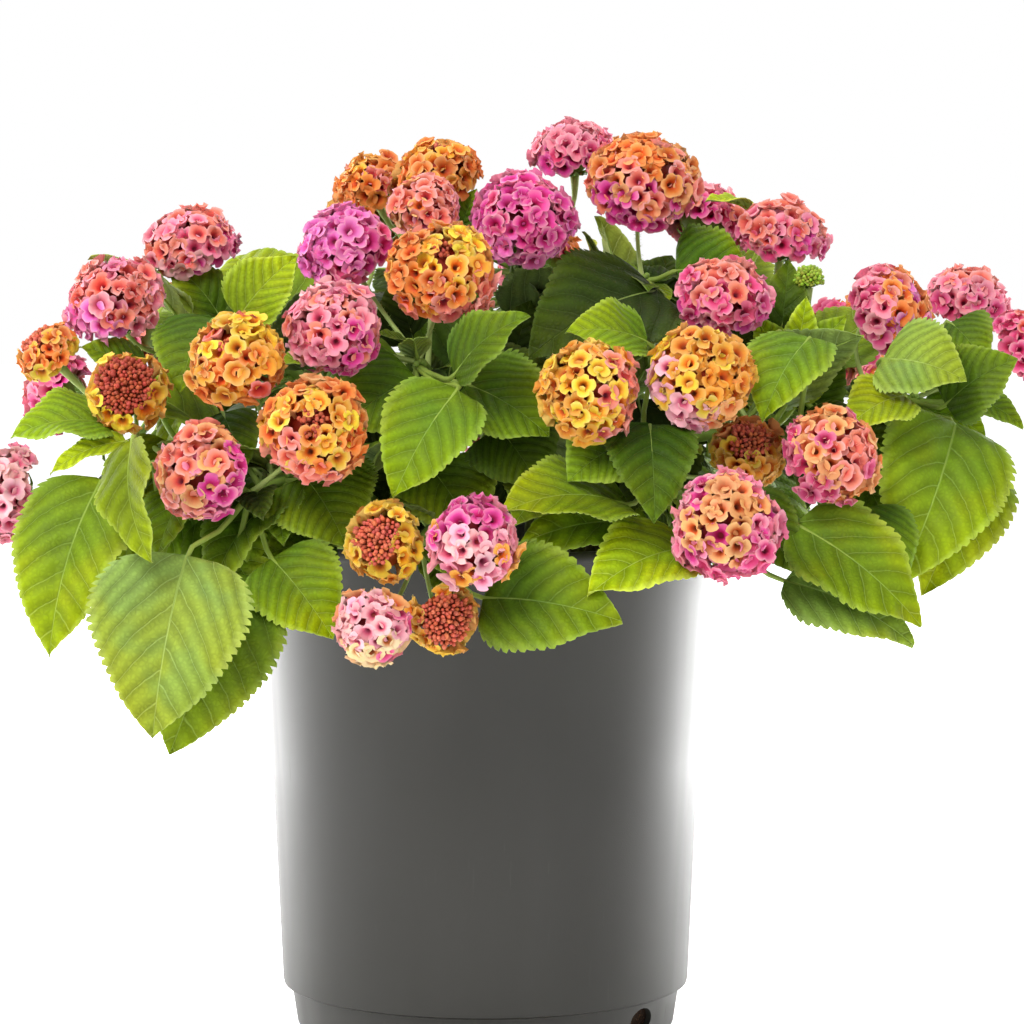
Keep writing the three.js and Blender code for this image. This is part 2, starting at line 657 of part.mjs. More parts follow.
// A leaf that is placed by hand: its foot is the nearest point of the upper stem.
function leafByHand(stem, [base, tip, width, face]) {
  const at = vector(base);
  const upper = Array.from({ length: 13 }, (_, k) => stem.getPoint(0.4 + 0.05 * k));
  const foot = upper.sort((a, b) => a.distanceTo(at) - b.distanceTo(at))[0];
  return { foot, base: at, tip: vector(tip), width, face: vector(face) };
}

// Two opposite leaves that spread from a stem and droop to their tips.
function leafPair(shoot, stem, [t, turn, length]) {
  const foot = stem.getPoint(t);
  const ahead = stem.getTangent(t);
  const out = vector([...shoot.crown.slice(0, 2), 0]).normalize();
  const across = new THREE.Vector3().crossVectors(ahead, out.clone().addScaledVector(UP, 0.2)).normalize();
  return [turn, turn + 180].map((degrees) => {
    const side = across.clone().applyAxisAngle(ahead, THREE.MathUtils.degToRad(degrees));
    const leave = side.multiplyScalar(PAIR.aside).addScaledVector(ahead, PAIR.ahead);
    leave.addScaledVector(out, PAIR.out).normalize();
    const base = along(foot, leave, PAIR.petiole * length);
    const tip = along(base, leave.clone().addScaledVector(UP, -PAIR.droop).normalize(), length);
    const face = out.clone().multiplyScalar(0.5).add(UP);
    return { foot, base, tip, width: PAIR.width * length, face };
  });
}

// The leaf itself, then the poses that it takes in turn when it is crowded: swung about its foot, or smaller.
function* leafPoses(leaf) {
  const line = leaf.tip.clone().sub(leaf.foot).normalize();
  const side = new THREE.Vector3().crossVectors(line, leaf.face).normalize();
  const over = new THREE.Vector3().crossVectors(side, line);
  for (const size of SHRINKS) {
    for (let r = 0; r <= SWING.rings; r++) {
      for (let s = 0; s < (r ? SWING.spokes : 1); s++) {
        const spoke = (2 * Math.PI * s) / SWING.spokes;
        const axis = along(side.clone().multiplyScalar(Math.cos(spoke)), over, Math.sin(spoke));
        yield swungLeaf(leaf, axis, THREE.MathUtils.degToRad(SWING.step * r), size);
      }
    }
  }
}

function swungLeaf({ foot, base, tip, width, face }, axis, angle, size) {
  const swing = (point) => point.clone().sub(foot).multiplyScalar(size).applyAxisAngle(axis, angle).add(foot);
  const newFace = face.clone().applyAxisAngle(axis, angle);
  return { foot, base: swing(base), tip: swing(tip), width: width * size, face: newFace };
}

// A leaf without all but the last of its petiole.
function bladeOf(leaf) {
  return { ...leaf, foot: leaf.base.clone().lerp(leaf.foot, 0.25) };
}

// The leaf as a solid: a thin petiole that opens into a toothed blade with sharp edges, arched along its
// midrib and folded a little up from it. spare widens and thickens it all round.
function leafSolid({ foot, base, tip, width, face }, spare = 0) {
  const chord = tip.clone().sub(base);
  const length = chord.length();
  const ahead = chord.normalize();
  const side = new THREE.Vector3().crossVectors(ahead, face).normalize();
  const over = new THREE.Vector3().crossVectors(side, ahead);
  const crest = along(along(base, ahead, length / 2), over, BLADE.arch * length);
  const midrib = new THREE.QuadraticBezierCurve3(base, crest, tip);
  const parts = 3 + (length > BLADE.short) + (length > BLADE.long);
  const half = width / 2 + spare;
  const thick = BLADE.thickness / 2 + spare;

  const points = [];
  const put = (point) => points.push(point) - 1;
  const stalkWay = base.clone().sub(foot).normalize();
  const stalkSide = new THREE.Vector3().crossVectors(stalkWay, face).normalize();
  const stalkOver = new THREE.Vector3().crossVectors(stalkSide, stalkWay);
  const start = ring(foot, stalkSide, stalkOver, PETIOLE.radius + spare, PETIOLE.sides).map(put);

  const ribs = Array.from({ length: parts }, (_, j) => {
    const at = midrib.getPoint(j / parts);
    return { top: put(along(at, over, thick)), under: put(along(at, over, -thick)) };
  });
  const edge = (sign) => Array.from({ length: 2 * parts }, (_, k) => {
    if (k === 0) return put(along(base, side, sign * (PETIOLE.radius + spare)));
    const t = k / (2 * parts);
    const reach = half * bladeOutline(t) * (1 + (k % 2 ? BLADE.tooth : -BLADE.tooth));
    return put(along(along(midrib.getPoint(t), side, sign * reach), over, bladeLift(t, reach, sign, length)));
  });
  const [right, left] = [edge(1), edge(-1)];
  const end = put(tip.clone());

  const round = (corners) => corners.map((corner, k) => [corner, (2 * Math.PI * k) / corners.length]);
  const collar = [right[0], ribs[0].top, left[0], ribs[0].under];
  const triangles = [start, ...stitch(round(start), round(collar))];
  const halfSkin = (rib, rim, flip) => {
    const add = (a, b, c) => triangles.push(flip ? [a, c, b] : [a, b, c]);
    for (let j = 0; j < parts; j++) {
      const next = j + 1 < parts ? rib(j + 1) : end;
      add(rib(j), rim[2 * j], rim[2 * j + 1]);
      add(rib(j), rim[2 * j + 1], next);
      if (j + 1 < parts) add(next, rim[2 * j + 1], rim[2 * j + 2]);
    }
  };
  halfSkin((j) => ribs[j].top, right, false);
  halfSkin((j) => ribs[j].top, left, true);
  halfSkin((j) => ribs[j].under, right, true);
  halfSkin((j) => ribs[j].under, left, false);
  return solidOf(shell(points, triangles));
}

// How far the blade's edge stands above its midrib: folded up, and lightly waved along its length.
function bladeLift(t, reach, sign, length) {
  return BLADE.fold * reach + BLADE.wave * length * Math.sin(5 * Math.PI * t + sign);
}

// ---------------------------------------------------------------- the plant

const meets = (a, b) => a.box.intersectsBox(b.box) && !a.solid.intersect(b.solid).isEmpty();
const piece = (solid, owner) => ({ solid, owner, box: boxOf(solid) });

const pot = potSolid();
let soil = soilSolid();
for (const shoot of SHOOTS) soil = soil.subtract(stemHole(shoot));

const heads = [];
const twigs = [];
for (const shoot of SHOOTS) {
  const stem = stemCurve(shoot);
  let wood = stemSolid(shoot);
  for (const row of shoot.heads) {
    const head = headOf(shoot, row);
    wood = wood.add(stalkSolid(stem, head));
    heads.push({ ...piece(headSolid(head), shoot.name), name: head.name, stage: head.stage });
  }
  twigs.push(piece(wood, shoot.name));
}

// Every leaf takes the first of its poses that is clear of all that stands already. Near its foot it may meet
// its own stem. A leaf that finds no such place may cross its own shoot, and one that would still cross
// another shoot doesn't grow.
const standing = [piece(pot, 'pot'), piece(soil, 'soil'), ...heads];
const grown = [];

function settled(leaf, owner) {
  const foreign = ({ owner: other }) => other !== owner;
  const strangers = [...standing, ...twigs.filter(foreign), ...grown.filter(foreign)];
  const kin = grown.filter(({ owner: other }) => other === owner);
  const wood = twigs.find(({ owner: other }) => other === owner);
  let fallback = null;
  for (const pose of leafPoses(leaf)) {
    const room = piece(leafSolid(pose, BERTH));
    if (strangers.some((other) => meets(room, other))) continue;
    const blade = piece(leafSolid(bladeOf(pose), BERTH));
    const clear = !meets(blade, wood) && !kin.some((other) => meets(room, other.blade) || meets(blade, other));
    if (clear) return pose;
    fallback ??= pose;
  }
  return fallback;
}

function grow(leaf, owner) {
  const pose = settled(leaf, owner);
  if (pose) grown.push({ ...piece(leafSolid(pose), owner), blade: piece(leafSolid(bladeOf(pose))) });
}

for (const shoot of SHOOTS) {
  const stem = stemCurve(shoot);
  for (const row of shoot.leaves) grow(leafByHand(stem, row), shoot.name);
}
for (const shoot of SHOOTS) {
  const stem = stemCurve(shoot);
  for (const pair of shoot.pairs) {
    for (const leaf of leafPair(shoot, stem, pair)) grow(leaf, shoot.name);
  }
}

// ---------------------------------------------------------------- the scene graph

function mesh(name, solid, colour, roughness) {
  const material = new THREE.MeshStandardMaterial({ color: colour, roughness, metalness: 0 });
  const made = new THREE.Mesh(geometryOf(solid), material);
  made.name = name;
  return made;
}

const lantana = new THREE.Group();
lantana.add(mesh('pot', pot, 0x4d4c49, 0.5));
lantana.add(mesh('soil', wholeBody(soil), 0x33261c, 0.95));
for (const twig of twigs) {
  let shoot = twig.solid;
  for (const leaf of grown.filter(({ owner }) => owner === twig.owner)) shoot = shoot.add(leaf.solid);
  lantana.add(mesh(twig.owner, wholeBody(shoot), 0x5f8a2a, 0.6));
}
for (const { name, solid, stage } of heads) lantana.add(mesh(name, solid, STAGES[stage].colour, 0.6));

export default lantana;
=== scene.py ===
"""A lantana in flower in a plain plastic nursery pot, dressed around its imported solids.

Lengths are millimetres in the plant's own frame (+Z up, the origin under the middle of the pot, the plant's
fullest side towards -Y). They become metres when a mesh is written. Every organ that repeats, such as a
floret, a bud or a blade, is modelled once as a stamp and then copied, each copy bent to its own place.
"""

from __future__ import annotations

import json
import logging
import math
from contextlib import contextmanager
from dataclasses import dataclass
from enum import Enum
from itertools import pairwise
from random import Random
from typing import Any, Iterator, Sequence

import bmesh
import bpy
import numpy as np
from bpy.types import Material, Node, NodeOutputs, NodeSocket, NodeTree, Object
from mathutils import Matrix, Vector
from mathutils.kdtree import KDTree

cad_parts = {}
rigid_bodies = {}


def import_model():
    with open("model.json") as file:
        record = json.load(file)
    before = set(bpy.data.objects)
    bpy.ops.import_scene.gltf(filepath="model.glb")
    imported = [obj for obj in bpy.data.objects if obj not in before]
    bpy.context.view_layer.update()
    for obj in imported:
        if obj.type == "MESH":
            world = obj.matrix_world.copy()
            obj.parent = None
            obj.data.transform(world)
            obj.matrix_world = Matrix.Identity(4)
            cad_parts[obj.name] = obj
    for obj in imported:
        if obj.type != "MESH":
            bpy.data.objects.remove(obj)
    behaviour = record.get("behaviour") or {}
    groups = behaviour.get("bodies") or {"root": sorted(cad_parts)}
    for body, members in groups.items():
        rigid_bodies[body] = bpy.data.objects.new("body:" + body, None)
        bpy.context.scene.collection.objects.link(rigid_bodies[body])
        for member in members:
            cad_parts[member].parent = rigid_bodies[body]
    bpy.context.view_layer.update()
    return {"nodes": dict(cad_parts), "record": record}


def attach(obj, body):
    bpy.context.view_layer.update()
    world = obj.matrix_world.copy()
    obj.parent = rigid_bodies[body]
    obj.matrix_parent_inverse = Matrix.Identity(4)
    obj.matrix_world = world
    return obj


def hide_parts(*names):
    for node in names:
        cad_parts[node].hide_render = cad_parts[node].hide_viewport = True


bpy.data.batch_remove(bpy.data.objects)
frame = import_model()

LOG = logging.getLogger("lantana")
MM = 0.001
BODY = "root"
UP = np.array([0.0, 0.0, 1.0])
NEARLY_UP = 0.9
GOLDEN_ANGLE = math.pi * (3 - math.sqrt(5))


# ---- small sums


def unit(vector: Any) -> np.ndarray:
    """A vector's direction, with length one."""
    array = np.asarray(vector, dtype=float)
    return array / np.linalg.norm(array)


def rotated(vector: np.ndarray, axis: np.ndarray, angle: float) -> np.ndarray:
    """A vector turned about a unit axis by an angle in radians."""
    turned = vector * math.cos(angle) + np.cross(axis, vector) * math.sin(angle)
    return turned + axis * np.dot(axis, vector) * (1 - math.cos(angle))


def eased(low: float, high: float, value: Any) -> Any:
    """A smooth step from 0 at low to 1 at high."""
    share = np.clip((np.asarray(value, dtype=float) - low) / (high - low), 0.0, 1.0)
    return share * share * (3 - 2 * share)


def linear(code: str) -> np.ndarray:
    """The scene-linear red, green and blue of a colour written as six hexadecimal digits."""
    parts = np.array([int(code[i : i + 2], 16) / 255 for i in (0, 2, 4)])
    return np.where(parts <= 0.04045, parts / 12.92, ((parts + 0.055) / 1.055) ** 2.4)


def square_frame(way: np.ndarray) -> tuple[np.ndarray, np.ndarray]:
    """Two directions square to a third one and to each other."""
    across = unit(np.cross(UP if abs(way[2]) < NEARLY_UP else (1.0, 0.0, 0.0), way))
    return across, np.cross(way, across)


def stood(points: np.ndarray, way: np.ndarray) -> np.ndarray:
    """Points turned so that their own Z runs along a direction."""
    return points @ np.array([*square_frame(way), way])


def stray(rng: Random, *spreads: float) -> np.ndarray:
    """Random offsets, one for each spread."""
    return np.array([rng.gauss(0, spread) for spread in spreads])


@dataclass(frozen=True)
class Bezier:
    """A Bezier curve through any number of control points.

    Attributes:
        controls: The control points, one row each.
    """

    controls: np.ndarray

    def at(self, share: Any) -> np.ndarray:
        """The points at one or several shares of the curve's parameter.

        Args:
            share: One or several shares, from 0 to 1.

        Returns:
            One point for each share.
        """
        t = np.asarray(share, dtype=float)[..., None]
        rows = [np.broadcast_to(row, (*t.shape[:-1], 3)) for row in self.controls]
        while len(rows) > 1:
            rows = [a + (b - a) * t for a, b in pairwise(rows)]
        return rows[0]

    def tangent(self, share: Any) -> np.ndarray:
        """The unit directions at one or several shares of the curve's parameter."""
        ways = Bezier(np.diff(self.controls, axis=0)).at(share)
        return ways / np.linalg.norm(ways, axis=-1, keepdims=True)


# ---- colours


class Tone(Enum):
    """The colours that lantana petals and buds pass through."""

    CREAM = "fbe3b4"
    LEMON = "fbd22a"
    GOLD = "f8a827"
    ORANGE = "f37f28"
    APRICOT = "f6a56a"
    SALMON = "f08063"
    CORAL = "e4573f"
    PINK = "f38aa2"
    PALE_PINK = "f8b7c0"
    ROSE = "e84c8a"
    ORCHID = "e866ba"
    MAGENTA = "de2a96"
    BUD = "cf6a4e"
    DARK_BUD = "b2503a"
    GREEN_BUD = "9bb83c"


class LeafTone(Enum):
    """A leaf's colour at its base and at its tip."""

    # SHADE is painted shade: the darkest green, for leaves deep inside the plant and for young leaves set in
    # gaps where there is only shadow.
    SHADE = ("26360a", "3f520a")
    DEEP = ("36500a", "5a7208")
    MID = ("4a6a14", "7c9814")
    FRESH = ("67871c", "90a904")
    LIME = ("8ca41a", "aec40c")
    SAGE = ("86a64e", "8ea634")
    OLIVE = ("6c7c02", "96a404")


(CREAM, LEMON, GOLD, ORANGE, APRICOT, SALMON, CORAL, PINK, PALE_PINK, ROSE, ORCHID, MAGENTA,
 BUD, DARK_BUD, GREEN_BUD) = Tone
SHADE, DEEP, MID, FRESH, LIME, SAGE, OLIVE = LeafTone
WARM_TONES = (LEMON, GOLD, ORANGE, APRICOT, CREAM)


# ---- the plant's plan


@dataclass(frozen=True)
class Look:
    """How the florets of a head are coloured and how far it has opened.

    Attributes:
        middle: Tone of the youngest florets, on top of the dome.
        ring: Tone of the florets half way down.
        skirt: Tone of the oldest florets, round the edge.
        cast: Tone that takes over on one side of the head.
        side: The way that side faces.
        spot: Tone of the odd floret out.
        spots: Share of the florets that have it.
        buds: Polar angle, in radians, up to which the buds are still shut.
        bud: Tone of the buds.
        fill: Share of the florets beyond the buds that have opened.
    """

    middle: Tone
    ring: Tone
    skirt: Tone
    cast: Tone | None = None
    side: tuple[float, float, float] = (0, 0, 1)
    spot: Tone | None = None
    spots: float = 0.0
    buds: float = 0.0
    bud: Tone = BUD
    fill: float = 1.0


@dataclass(frozen=True)
class Head:
    """One flower head: its letter, middle, radius, facing and look, and where its stalk starts."""

    letter: str
    centre: tuple[float, float, float]
    radius: float
    facing: tuple[float, float, float]
    look: Look
    start: float


@dataclass(frozen=True)
class Spot:
    """One listed leaf: the base, tip and width of its blade, its facing, and its tone."""

    base: tuple[float, float, float]
    tip: tuple[float, float, float]
    width: float
    face: tuple[float, float, float]
    tone: LeafTone


@dataclass(frozen=True)
class Shoot:
    """One leafy stem: where it stands, where it ends, how far its end droops, and what it carries.

    Attributes:
        place: The last part of its node's name.
        foot: Where the stem leaves the soil.
        crown: Where the stem ends.
        droop: How far its end arches over.
        heads: Its flower heads.
        leaves: Its leaves, listed one by one.
        pairs: Its opposite leaves set by rule: share of the stem, turn in degrees, and length.
        young: Young leaves that fill the gaps between the others, those in the SHADE tone painted shade where
            only shadow shows.
    """

    place: str
    foot: tuple[float, float]
    crown: tuple[float, float, float]
    droop: float
    heads: tuple[Head, ...]
    leaves: tuple[Spot, ...]
    pairs: tuple[tuple[float, float, float], ...] = ()
    young: tuple[Spot, ...] = ()


SUNSET = Look(GOLD, ORANGE, ROSE, spot=SALMON, spots=0.2)
ROSY = Look(PINK, ROSE, MAGENTA, spot=SALMON, spots=0.12)
GOLDEN = Look(LEMON, GOLD, ORANGE, spot=APRICOT, spots=0.15)
PURPLE = Look(ORCHID, MAGENTA, MAGENTA, spot=ROSE, spots=0.2)

# The ways that many leaves face, from nearly upright to half way over.
STEEP = (0, -0.9, 0.4)
LEANING = (0, -0.8, 0.6)
SLANTED = (0, -0.7, 0.7)

SHOOTS = (
    Shoot("low_left", (-34, -20), (-122, -86, 214), 14, pairs=((0.45, 20, 52), (0.72, 100, 48)), heads=(
        Head("a", (-157, -50, 253), 11.5, (-0.6, -0.3, 0.7), Look(GOLD, ORANGE, LEMON, buds=0.7), 0.9),
        Head("b", (-126, -80, 241), 14.5, (-0.1, -1, 0.45),
             Look(LEMON, LEMON, GOLD, buds=1.0, bud=DARK_BUD, fill=0.7), 1),
        Head("c", (-172, -60, 203), 17.5, (-0.85, -0.45, 0.25),
             Look(PALE_PINK, PALE_PINK, PINK, PINK, (-0.6, 0, -0.6), fill=0.82), 1),
    ), leaves=(
        Spot((-134, -95, 211), (-150, -120, 151), 44, (-0.3, -0.9, 0.35), FRESH),
        Spot((-120, -128, 227), (-112, -142, 186), 30, (-0.75, -0.62, 0.15), OLIVE),
        Spot((-132, -75, 229), (-167, -86, 225), 36, (0, -0.45, 0.9), FRESH),
        Spot((-79, -70, 212), (-76, -84, 180), 42, (0.1, -0.85, 0.45), MID),
    ), young=(
        Spot((-126, -88, 224), (-152, -96, 213), 12, (0, -0.6, 0.8), LIME),
        Spot((-124, -50, 246), (-146, -54, 256), 18, SLANTED, MID),
        Spot((-84, -60, 204), (-122, -62, 176), 38, STEEP, SHADE),
        Spot((-112, -66, 222), (-130, -70, 196), 25, STEEP, OLIVE),
        Spot((-100, -76, 196), (-78, -80, 165), 30, STEEP, MID),
        Spot((-98, -68, 205), (-117, -74, 178), 24, STEEP, MID),
        Spot((-116, -76, 200), (-138, -80, 172), 28, STEEP, MID),
    )),
    Shoot("left", (-37, -3), (-108, -14, 252), 12,
          pairs=((0.5, 60, 54), (0.78, 150, 50), (0.97, 75, 44)), heads=(
        Head("a", (-109, -8, 291), 17.5, (-0.25, -0.35, 0.9),
             Look(SALMON, SALMON, PALE_PINK, MAGENTA, (0.8, 0, -0.4), PINK, 0.3), 0.95),
        Head("b", (-134, -40, 271), 19, (-0.25, -0.5, 0.85),
             Look(CORAL, SALMON, PINK, ORCHID, (-0.7, -0.2, -0.7), PINK, 0.3), 0.9),
        Head("c", (-160, 16, 236), 16, (-0.9, 0.2, 0.4), ROSY, 1),
    ), leaves=(
        Spot((-98, -46, 266), (-108, -74, 240), 34, (-0.3, -0.8, 0.5), MID),
        Spot((-90, -30, 266), (-69, -27, 288), 27, (0.1, -0.8, 0.6), LIME),
        Spot((-88, 12, 206), (-120, 16, 158), 46, (-0.9, 0.1, 0.4), MID),
        Spot((-92, -24, 214), (-132, -28, 178), 44, (-0.8, -0.2, 0.5), MID),
        Spot((-58, 14, 244), (-78, 42, 236), 44, (-0.3, 0.4, 0.85), DEEP),
    ), young=(
        Spot((-98, -16, 266), (-117, -12, 286), 22, SLANTED, MID),
    )),
    Shoot("front_left", (-25, -30), (-82, -95, 206), 14, pairs=((0.5, 10, 50), (0.8, 90, 46)), heads=(
        Head("a", (-86, -99, 253), 17.6, (-0.25, -0.9, 0.45),
             Look(ORANGE, GOLD, ORANGE, LEMON, (0.1, 0, 1), CORAL, 0.08, buds=0.22), 0.9),
        Head("b", (-58, -116, 230), 19, (0, -1, 0.2),
             Look(GOLD, ORANGE, APRICOT, SALMON, (-0.4, 0, -1), LEMON, 0.2, buds=0.33, bud=DARK_BUD), 1),
        Head("c", (-97, -113, 215), 17.6, (-0.6, -0.8, 0.25),
             Look(SALMON, APRICOT, SALMON, MAGENTA, (0.8, 0, -0.55), PINK, 0.2), 1),
    ), leaves=(
        Spot((-102, -124, 187), (-113, -136, 125), 56, (-0.1, -0.95, 0.3), SAGE),
        Spot((-88, -107, 181), (-109, -118, 117), 49, (0.25, -0.92, 0.3), MID),
        Spot((-74, -103, 184), (-52, -115, 157), 36, (0, -0.85, 0.5), FRESH),
        Spot((-63, -86, 211), (-48, -100, 188), 44, (0.1, -0.85, 0.5), MID),
    ), young=(
        Spot((-92, -86, 234), (-84, -95, 214), 22, LEANING, DEEP),
        Spot((-40, -38, 236), (-48, -42, 210), 26, STEEP, SHADE),
    )),
    Shoot("low_front", (-7, -38), (-22, -93, 189), 12, heads=(
        Head("a", (-34, -118, 191), 14, (-0.3, -0.95, 0.2),
             Look(LEMON, LEMON, GOLD, buds=0.75, fill=0.85), 0.9),
        Head("b", (-3, -134, 192), 16, (0.15, -0.95, 0.3),
             Look(PALE_PINK, PINK, PALE_PINK, MAGENTA, (-0.35, 0, 1), GOLD, 0.1), 1),
        Head("c", (-38, -131, 163), 13.5, (-0.3, -0.9, -0.1),
             Look(PALE_PINK, PALE_PINK, APRICOT, CREAM, (0.2, 0, -1), ROSE, 0.1), 1),
        Head("d", (-14, -118, 165), 12.5, (0.2, -0.95, 0),
             Look(LEMON, GOLD, LEMON, buds=0.95, fill=0.7), 1),
    ), leaves=(
        Spot((0, -112, 171), (48, -124, 164), 42, (0, -0.88, 0.45), MID),
        Spot((-20, -70, 214), (-3, -86, 189), 40, (0.1, -0.8, 0.55), MID),
        Spot((-52, -88, 187), (-78, -94, 184), 30, SLANTED, MID),
    ), young=(
        Spot((-28, -40, 216), (-41, -46, 192), 30, STEEP, SHADE),
        Spot((4, -40, 214), (10, -46, 190), 22, STEEP, SHADE),
    )),
    Shoot("mid_front", (-13, -18), (-24, -72, 250), 6, pairs=((0.42, 90, 50), (0.65, 0, 48)), heads=(
        Head("a", (-52, -90, 264), 17.4, (-0.15, -0.95, 0.3),
             Look(PINK, PINK, PALE_PINK, MAGENTA, (0.5, 0, -0.8), SALMON, 0.2), 0.9),
        Head("b", (-50, -54, 291), 17.3, (-0.35, -0.6, 0.7),
             Look(ORCHID, ORCHID, ROSE, MAGENTA, (0.9, 0, -0.2)), 0.8),
        Head("c", (-15, -76, 283), 20, (0.05, -0.8, 0.6),
             Look(LEMON, ORANGE, SALMON, SALMON, (0.35, 0, -1), GOLD, 0.12, buds=0.2, bud=DARK_BUD), 1),
        Head("d", (-22, -35, 306), 13, (-0.1, -0.7, 0.7),
             Look(SALMON, SALMON, PINK, spot=APRICOT, spots=0.2), 0.75),
    ), leaves=(
        Spot((-9, -103, 243), (-31, -119, 206), 36, (-0.2, -0.9, 0.35), FRESH),
        Spot((-10, -98, 248), (16, -106, 269), 28, (0.1, -0.6, 0.75), MID),
        Spot((-24, -76, 246), (-50, -84, 228), 40, (-0.2, -0.85, 0.45), MID),
        Spot((-6, -84, 244), (23, -92, 226), 38, LEANING, MID),
        Spot((5, -78, 228), (20, -88, 207), 36, LEANING, DEEP),
    )),
    Shoot("top", (3, -4), (12, -2, 284), -4, pairs=((0.5, 20, 52), (0.68, 110, 52)), heads=(
        Head("a", (-43, 12, 314), 13.5, (-0.35, -0.25, 0.9),
             Look(GOLD, ORANGE, ORANGE, spot=SALMON, spots=0.1), 0.9),
        Head("b", (-17, -4, 318), 15.2, (0, -0.4, 0.9), Look(GOLD, ORANGE, GOLD, buds=0.2), 1),
        Head("c", (14, -45, 301), 19, (0.1, -0.75, 0.6),
             Look(MAGENTA, MAGENTA, ORCHID, ORCHID, (-0.5, 0, -0.6), ROSE, 0.15), 0.95),
        Head("d", (33, 28, 326), 15.5, (-0.1, -0.2, 0.95),
             Look(PINK, PINK, ROSE, MAGENTA, (-0.3, -0.3, -0.8)), 1),
    ), leaves=(
        Spot((-10, 24, 276), (-42, 54, 270), 46, (-0.3, 0.3, 0.9), MID),
        Spot((20, 14, 272), (46, 46, 268), 44, (0.3, 0.3, 0.9), MID),
        Spot((-18, 8, 268), (-58, 18, 262), 46, (-0.3, 0.1, 0.95), DEEP),
        Spot((0, 20, 268), (-4, 60, 262), 44, (0, 0.4, 0.9), FRESH),
    ), young=(
        Spot((-26, -22, 256), (-34, -20, 280), 26, LEANING, SHADE),
        Spot((-9, -6, 296), (-3, -9, 313), 16, LEANING, MID),
    )),
    Shoot("upper_right", (17, -15), (58, -22, 279), -6, heads=(
        Head("a", (58, -20, 314), 22, (0.1, -0.6, 0.8),
             Look(ORANGE, APRICOT, ROSE, MAGENTA, (-0.1, -0.3, -1), SALMON, 0.25), 1),
    ), leaves=(
        Spot((62, -40, 277), (12, -72, 260), 50, (-0.1, -0.75, 0.65), SHADE),
        Spot((70, -28, 283), (102, -18, 278), 40, SLANTED, MID),
    ), young=(
        Spot((60, -8, 268), (70, 2, 288), 24, SLANTED, DEEP),
        Spot((55, -10, 268), (48, 0, 287), 18, SLANTED, MID),
        Spot((10, -20, 248), (17, -20, 272), 24, STEEP, SHADE),
    )),
    Shoot("front_right", (15, -33), (62, -77, 211), 12, pairs=((0.5, 0, 48),), heads=(
        Head("a", (37, -105, 242), 18.4, (-0.1, -0.95, 0.35),
             Look(LEMON, GOLD, LEMON, SALMON, (0.95, 0, -0.25), GOLD, 0.2), 1),
        Head("b", (76, -95, 247), 19, (0.15, -0.9, 0.45),
             Look(GOLD, GOLD, APRICOT, PALE_PINK, (-0.8, 0, -0.6), LEMON, 0.15), 1),
        Head("c", (94, -72, 219), 13.5, (0.05, -0.8, 0.6),
             Look(LEMON, GOLD, LEMON, ORANGE, (0, 0, 1), buds=0.7, bud=BUD), 0.95),
        Head("d", (84, -122, 197), 19.5, (-0.05, -1, 0.1),
             Look(APRICOT, PINK, PINK, ROSE, (0.3, 0, -0.9), MAGENTA, 0.12), 1),
    ), leaves=(
        Spot((107, -100, 195), (148, -116, 159), 38, (0.1, -0.85, 0.5), FRESH),
        Spot((73, -98, 187), (36, -126, 173), 38, (-0.1, -0.7, 0.7), LIME),
        Spot((50, -96, 200), (5, -114, 193), 44, (0, -0.5, 0.87), FRESH),
        Spot((58, -98, 228), (59, -118, 193), 32, STEEP, DEEP),
        Spot((48, -90, 224), (26, -101, 211), 34, LEANING, MID),
        Spot((61, -84, 258), (33, -96, 262), 28, (0, -0.75, 0.65), FRESH),
    ), young=(
        Spot((58, -84, 194), (12, -99, 188), 34, (0, -0.65, 0.75), FRESH),
        Spot((90, -92, 204), (109, -97, 179), 26, (0, -0.85, 0.5), DEEP),
        Spot((106, -92, 175), (151, -100, 153), 31, (0.1, -0.8, 0.6), SAGE),
        Spot((56, -36, 236), (66, -44, 188), 42, (0, -0.95, 0.3), SHADE),
    )),
    Shoot("right_front", (32, -19), (112, -66, 224), 10, pairs=((0.5, 30, 52), (0.8, 120, 48)), heads=(
        Head("a", (122, -95, 219), 18, (0.45, -0.85, 0.35),
             Look(SALMON, APRICOT, ORANGE, ROSE, (-0.85, 0, -0.5), ROSE, 0.12), 0.95),
        Head("b", (86, -55, 273), 17.5, (0.1, -0.5, 0.85),
             Look(SALMON, ROSE, MAGENTA, spot=PINK, spots=0.2), 0.85),
        Head("c", (111, 0, 295), 17, (0.1, -0.25, 0.95),
             Look(SALMON, SALMON, ROSE, MAGENTA, (0.5, 0, -0.8), PINK, 0.25), 0.75),
        Head("d", (119, -24, 280), 6, (0, -0.2, 1),
             Look(LEMON, LEMON, LEMON, buds=2.2, bud=GREEN_BUD), 0.8),
    ), leaves=(
        Spot((132, -86, 201), (145, -96, 173), 30, (0.5, -0.8, 0.2), MID),
        Spot((116, -72, 260), (98, -93, 231), 32, (-0.4, -0.85, 0.3), FRESH),
        Spot((150, -66, 239), (128, -82, 228), 26, SLANTED, LIME),
    ), young=(
        Spot((112, -36, 250), (117, -40, 274), 15, (0.2, -0.9, 0.3), LIME),
        Spot((109, -34, 249), (98, -38, 267), 15, (-0.2, -0.8, 0.5), FRESH),
        Spot((117, -34, 250), (132, -38, 267), 15, (0.2, -0.8, 0.5), FRESH),
        Spot((114, -40, 236), (124, -46, 257), 13, (0.2, -0.9, 0.3), LIME),
        Spot((108, -26, 252), (112, -20, 287), 22, (0, -0.85, 0.5), DEEP),
        Spot((88, -34, 242), (97, -34, 272), 24, STEEP, SHADE),
        Spot((118, -22, 230), (132, -24, 252), 22, STEEP, DEEP),
    )),
    Shoot("right", (38, -3), (156, -32, 236), 12,
          pairs=((0.5, 10, 54), (0.74, 95, 52), (0.96, 20, 46)), heads=(
        Head("a", (147, -30, 268), 17.5, (0.75, -0.5, 0.5),
             Look(SALMON, PINK, ROSE, ORANGE, (0.9, -0.2, 0.1), ORCHID, 0.15), 0.9),
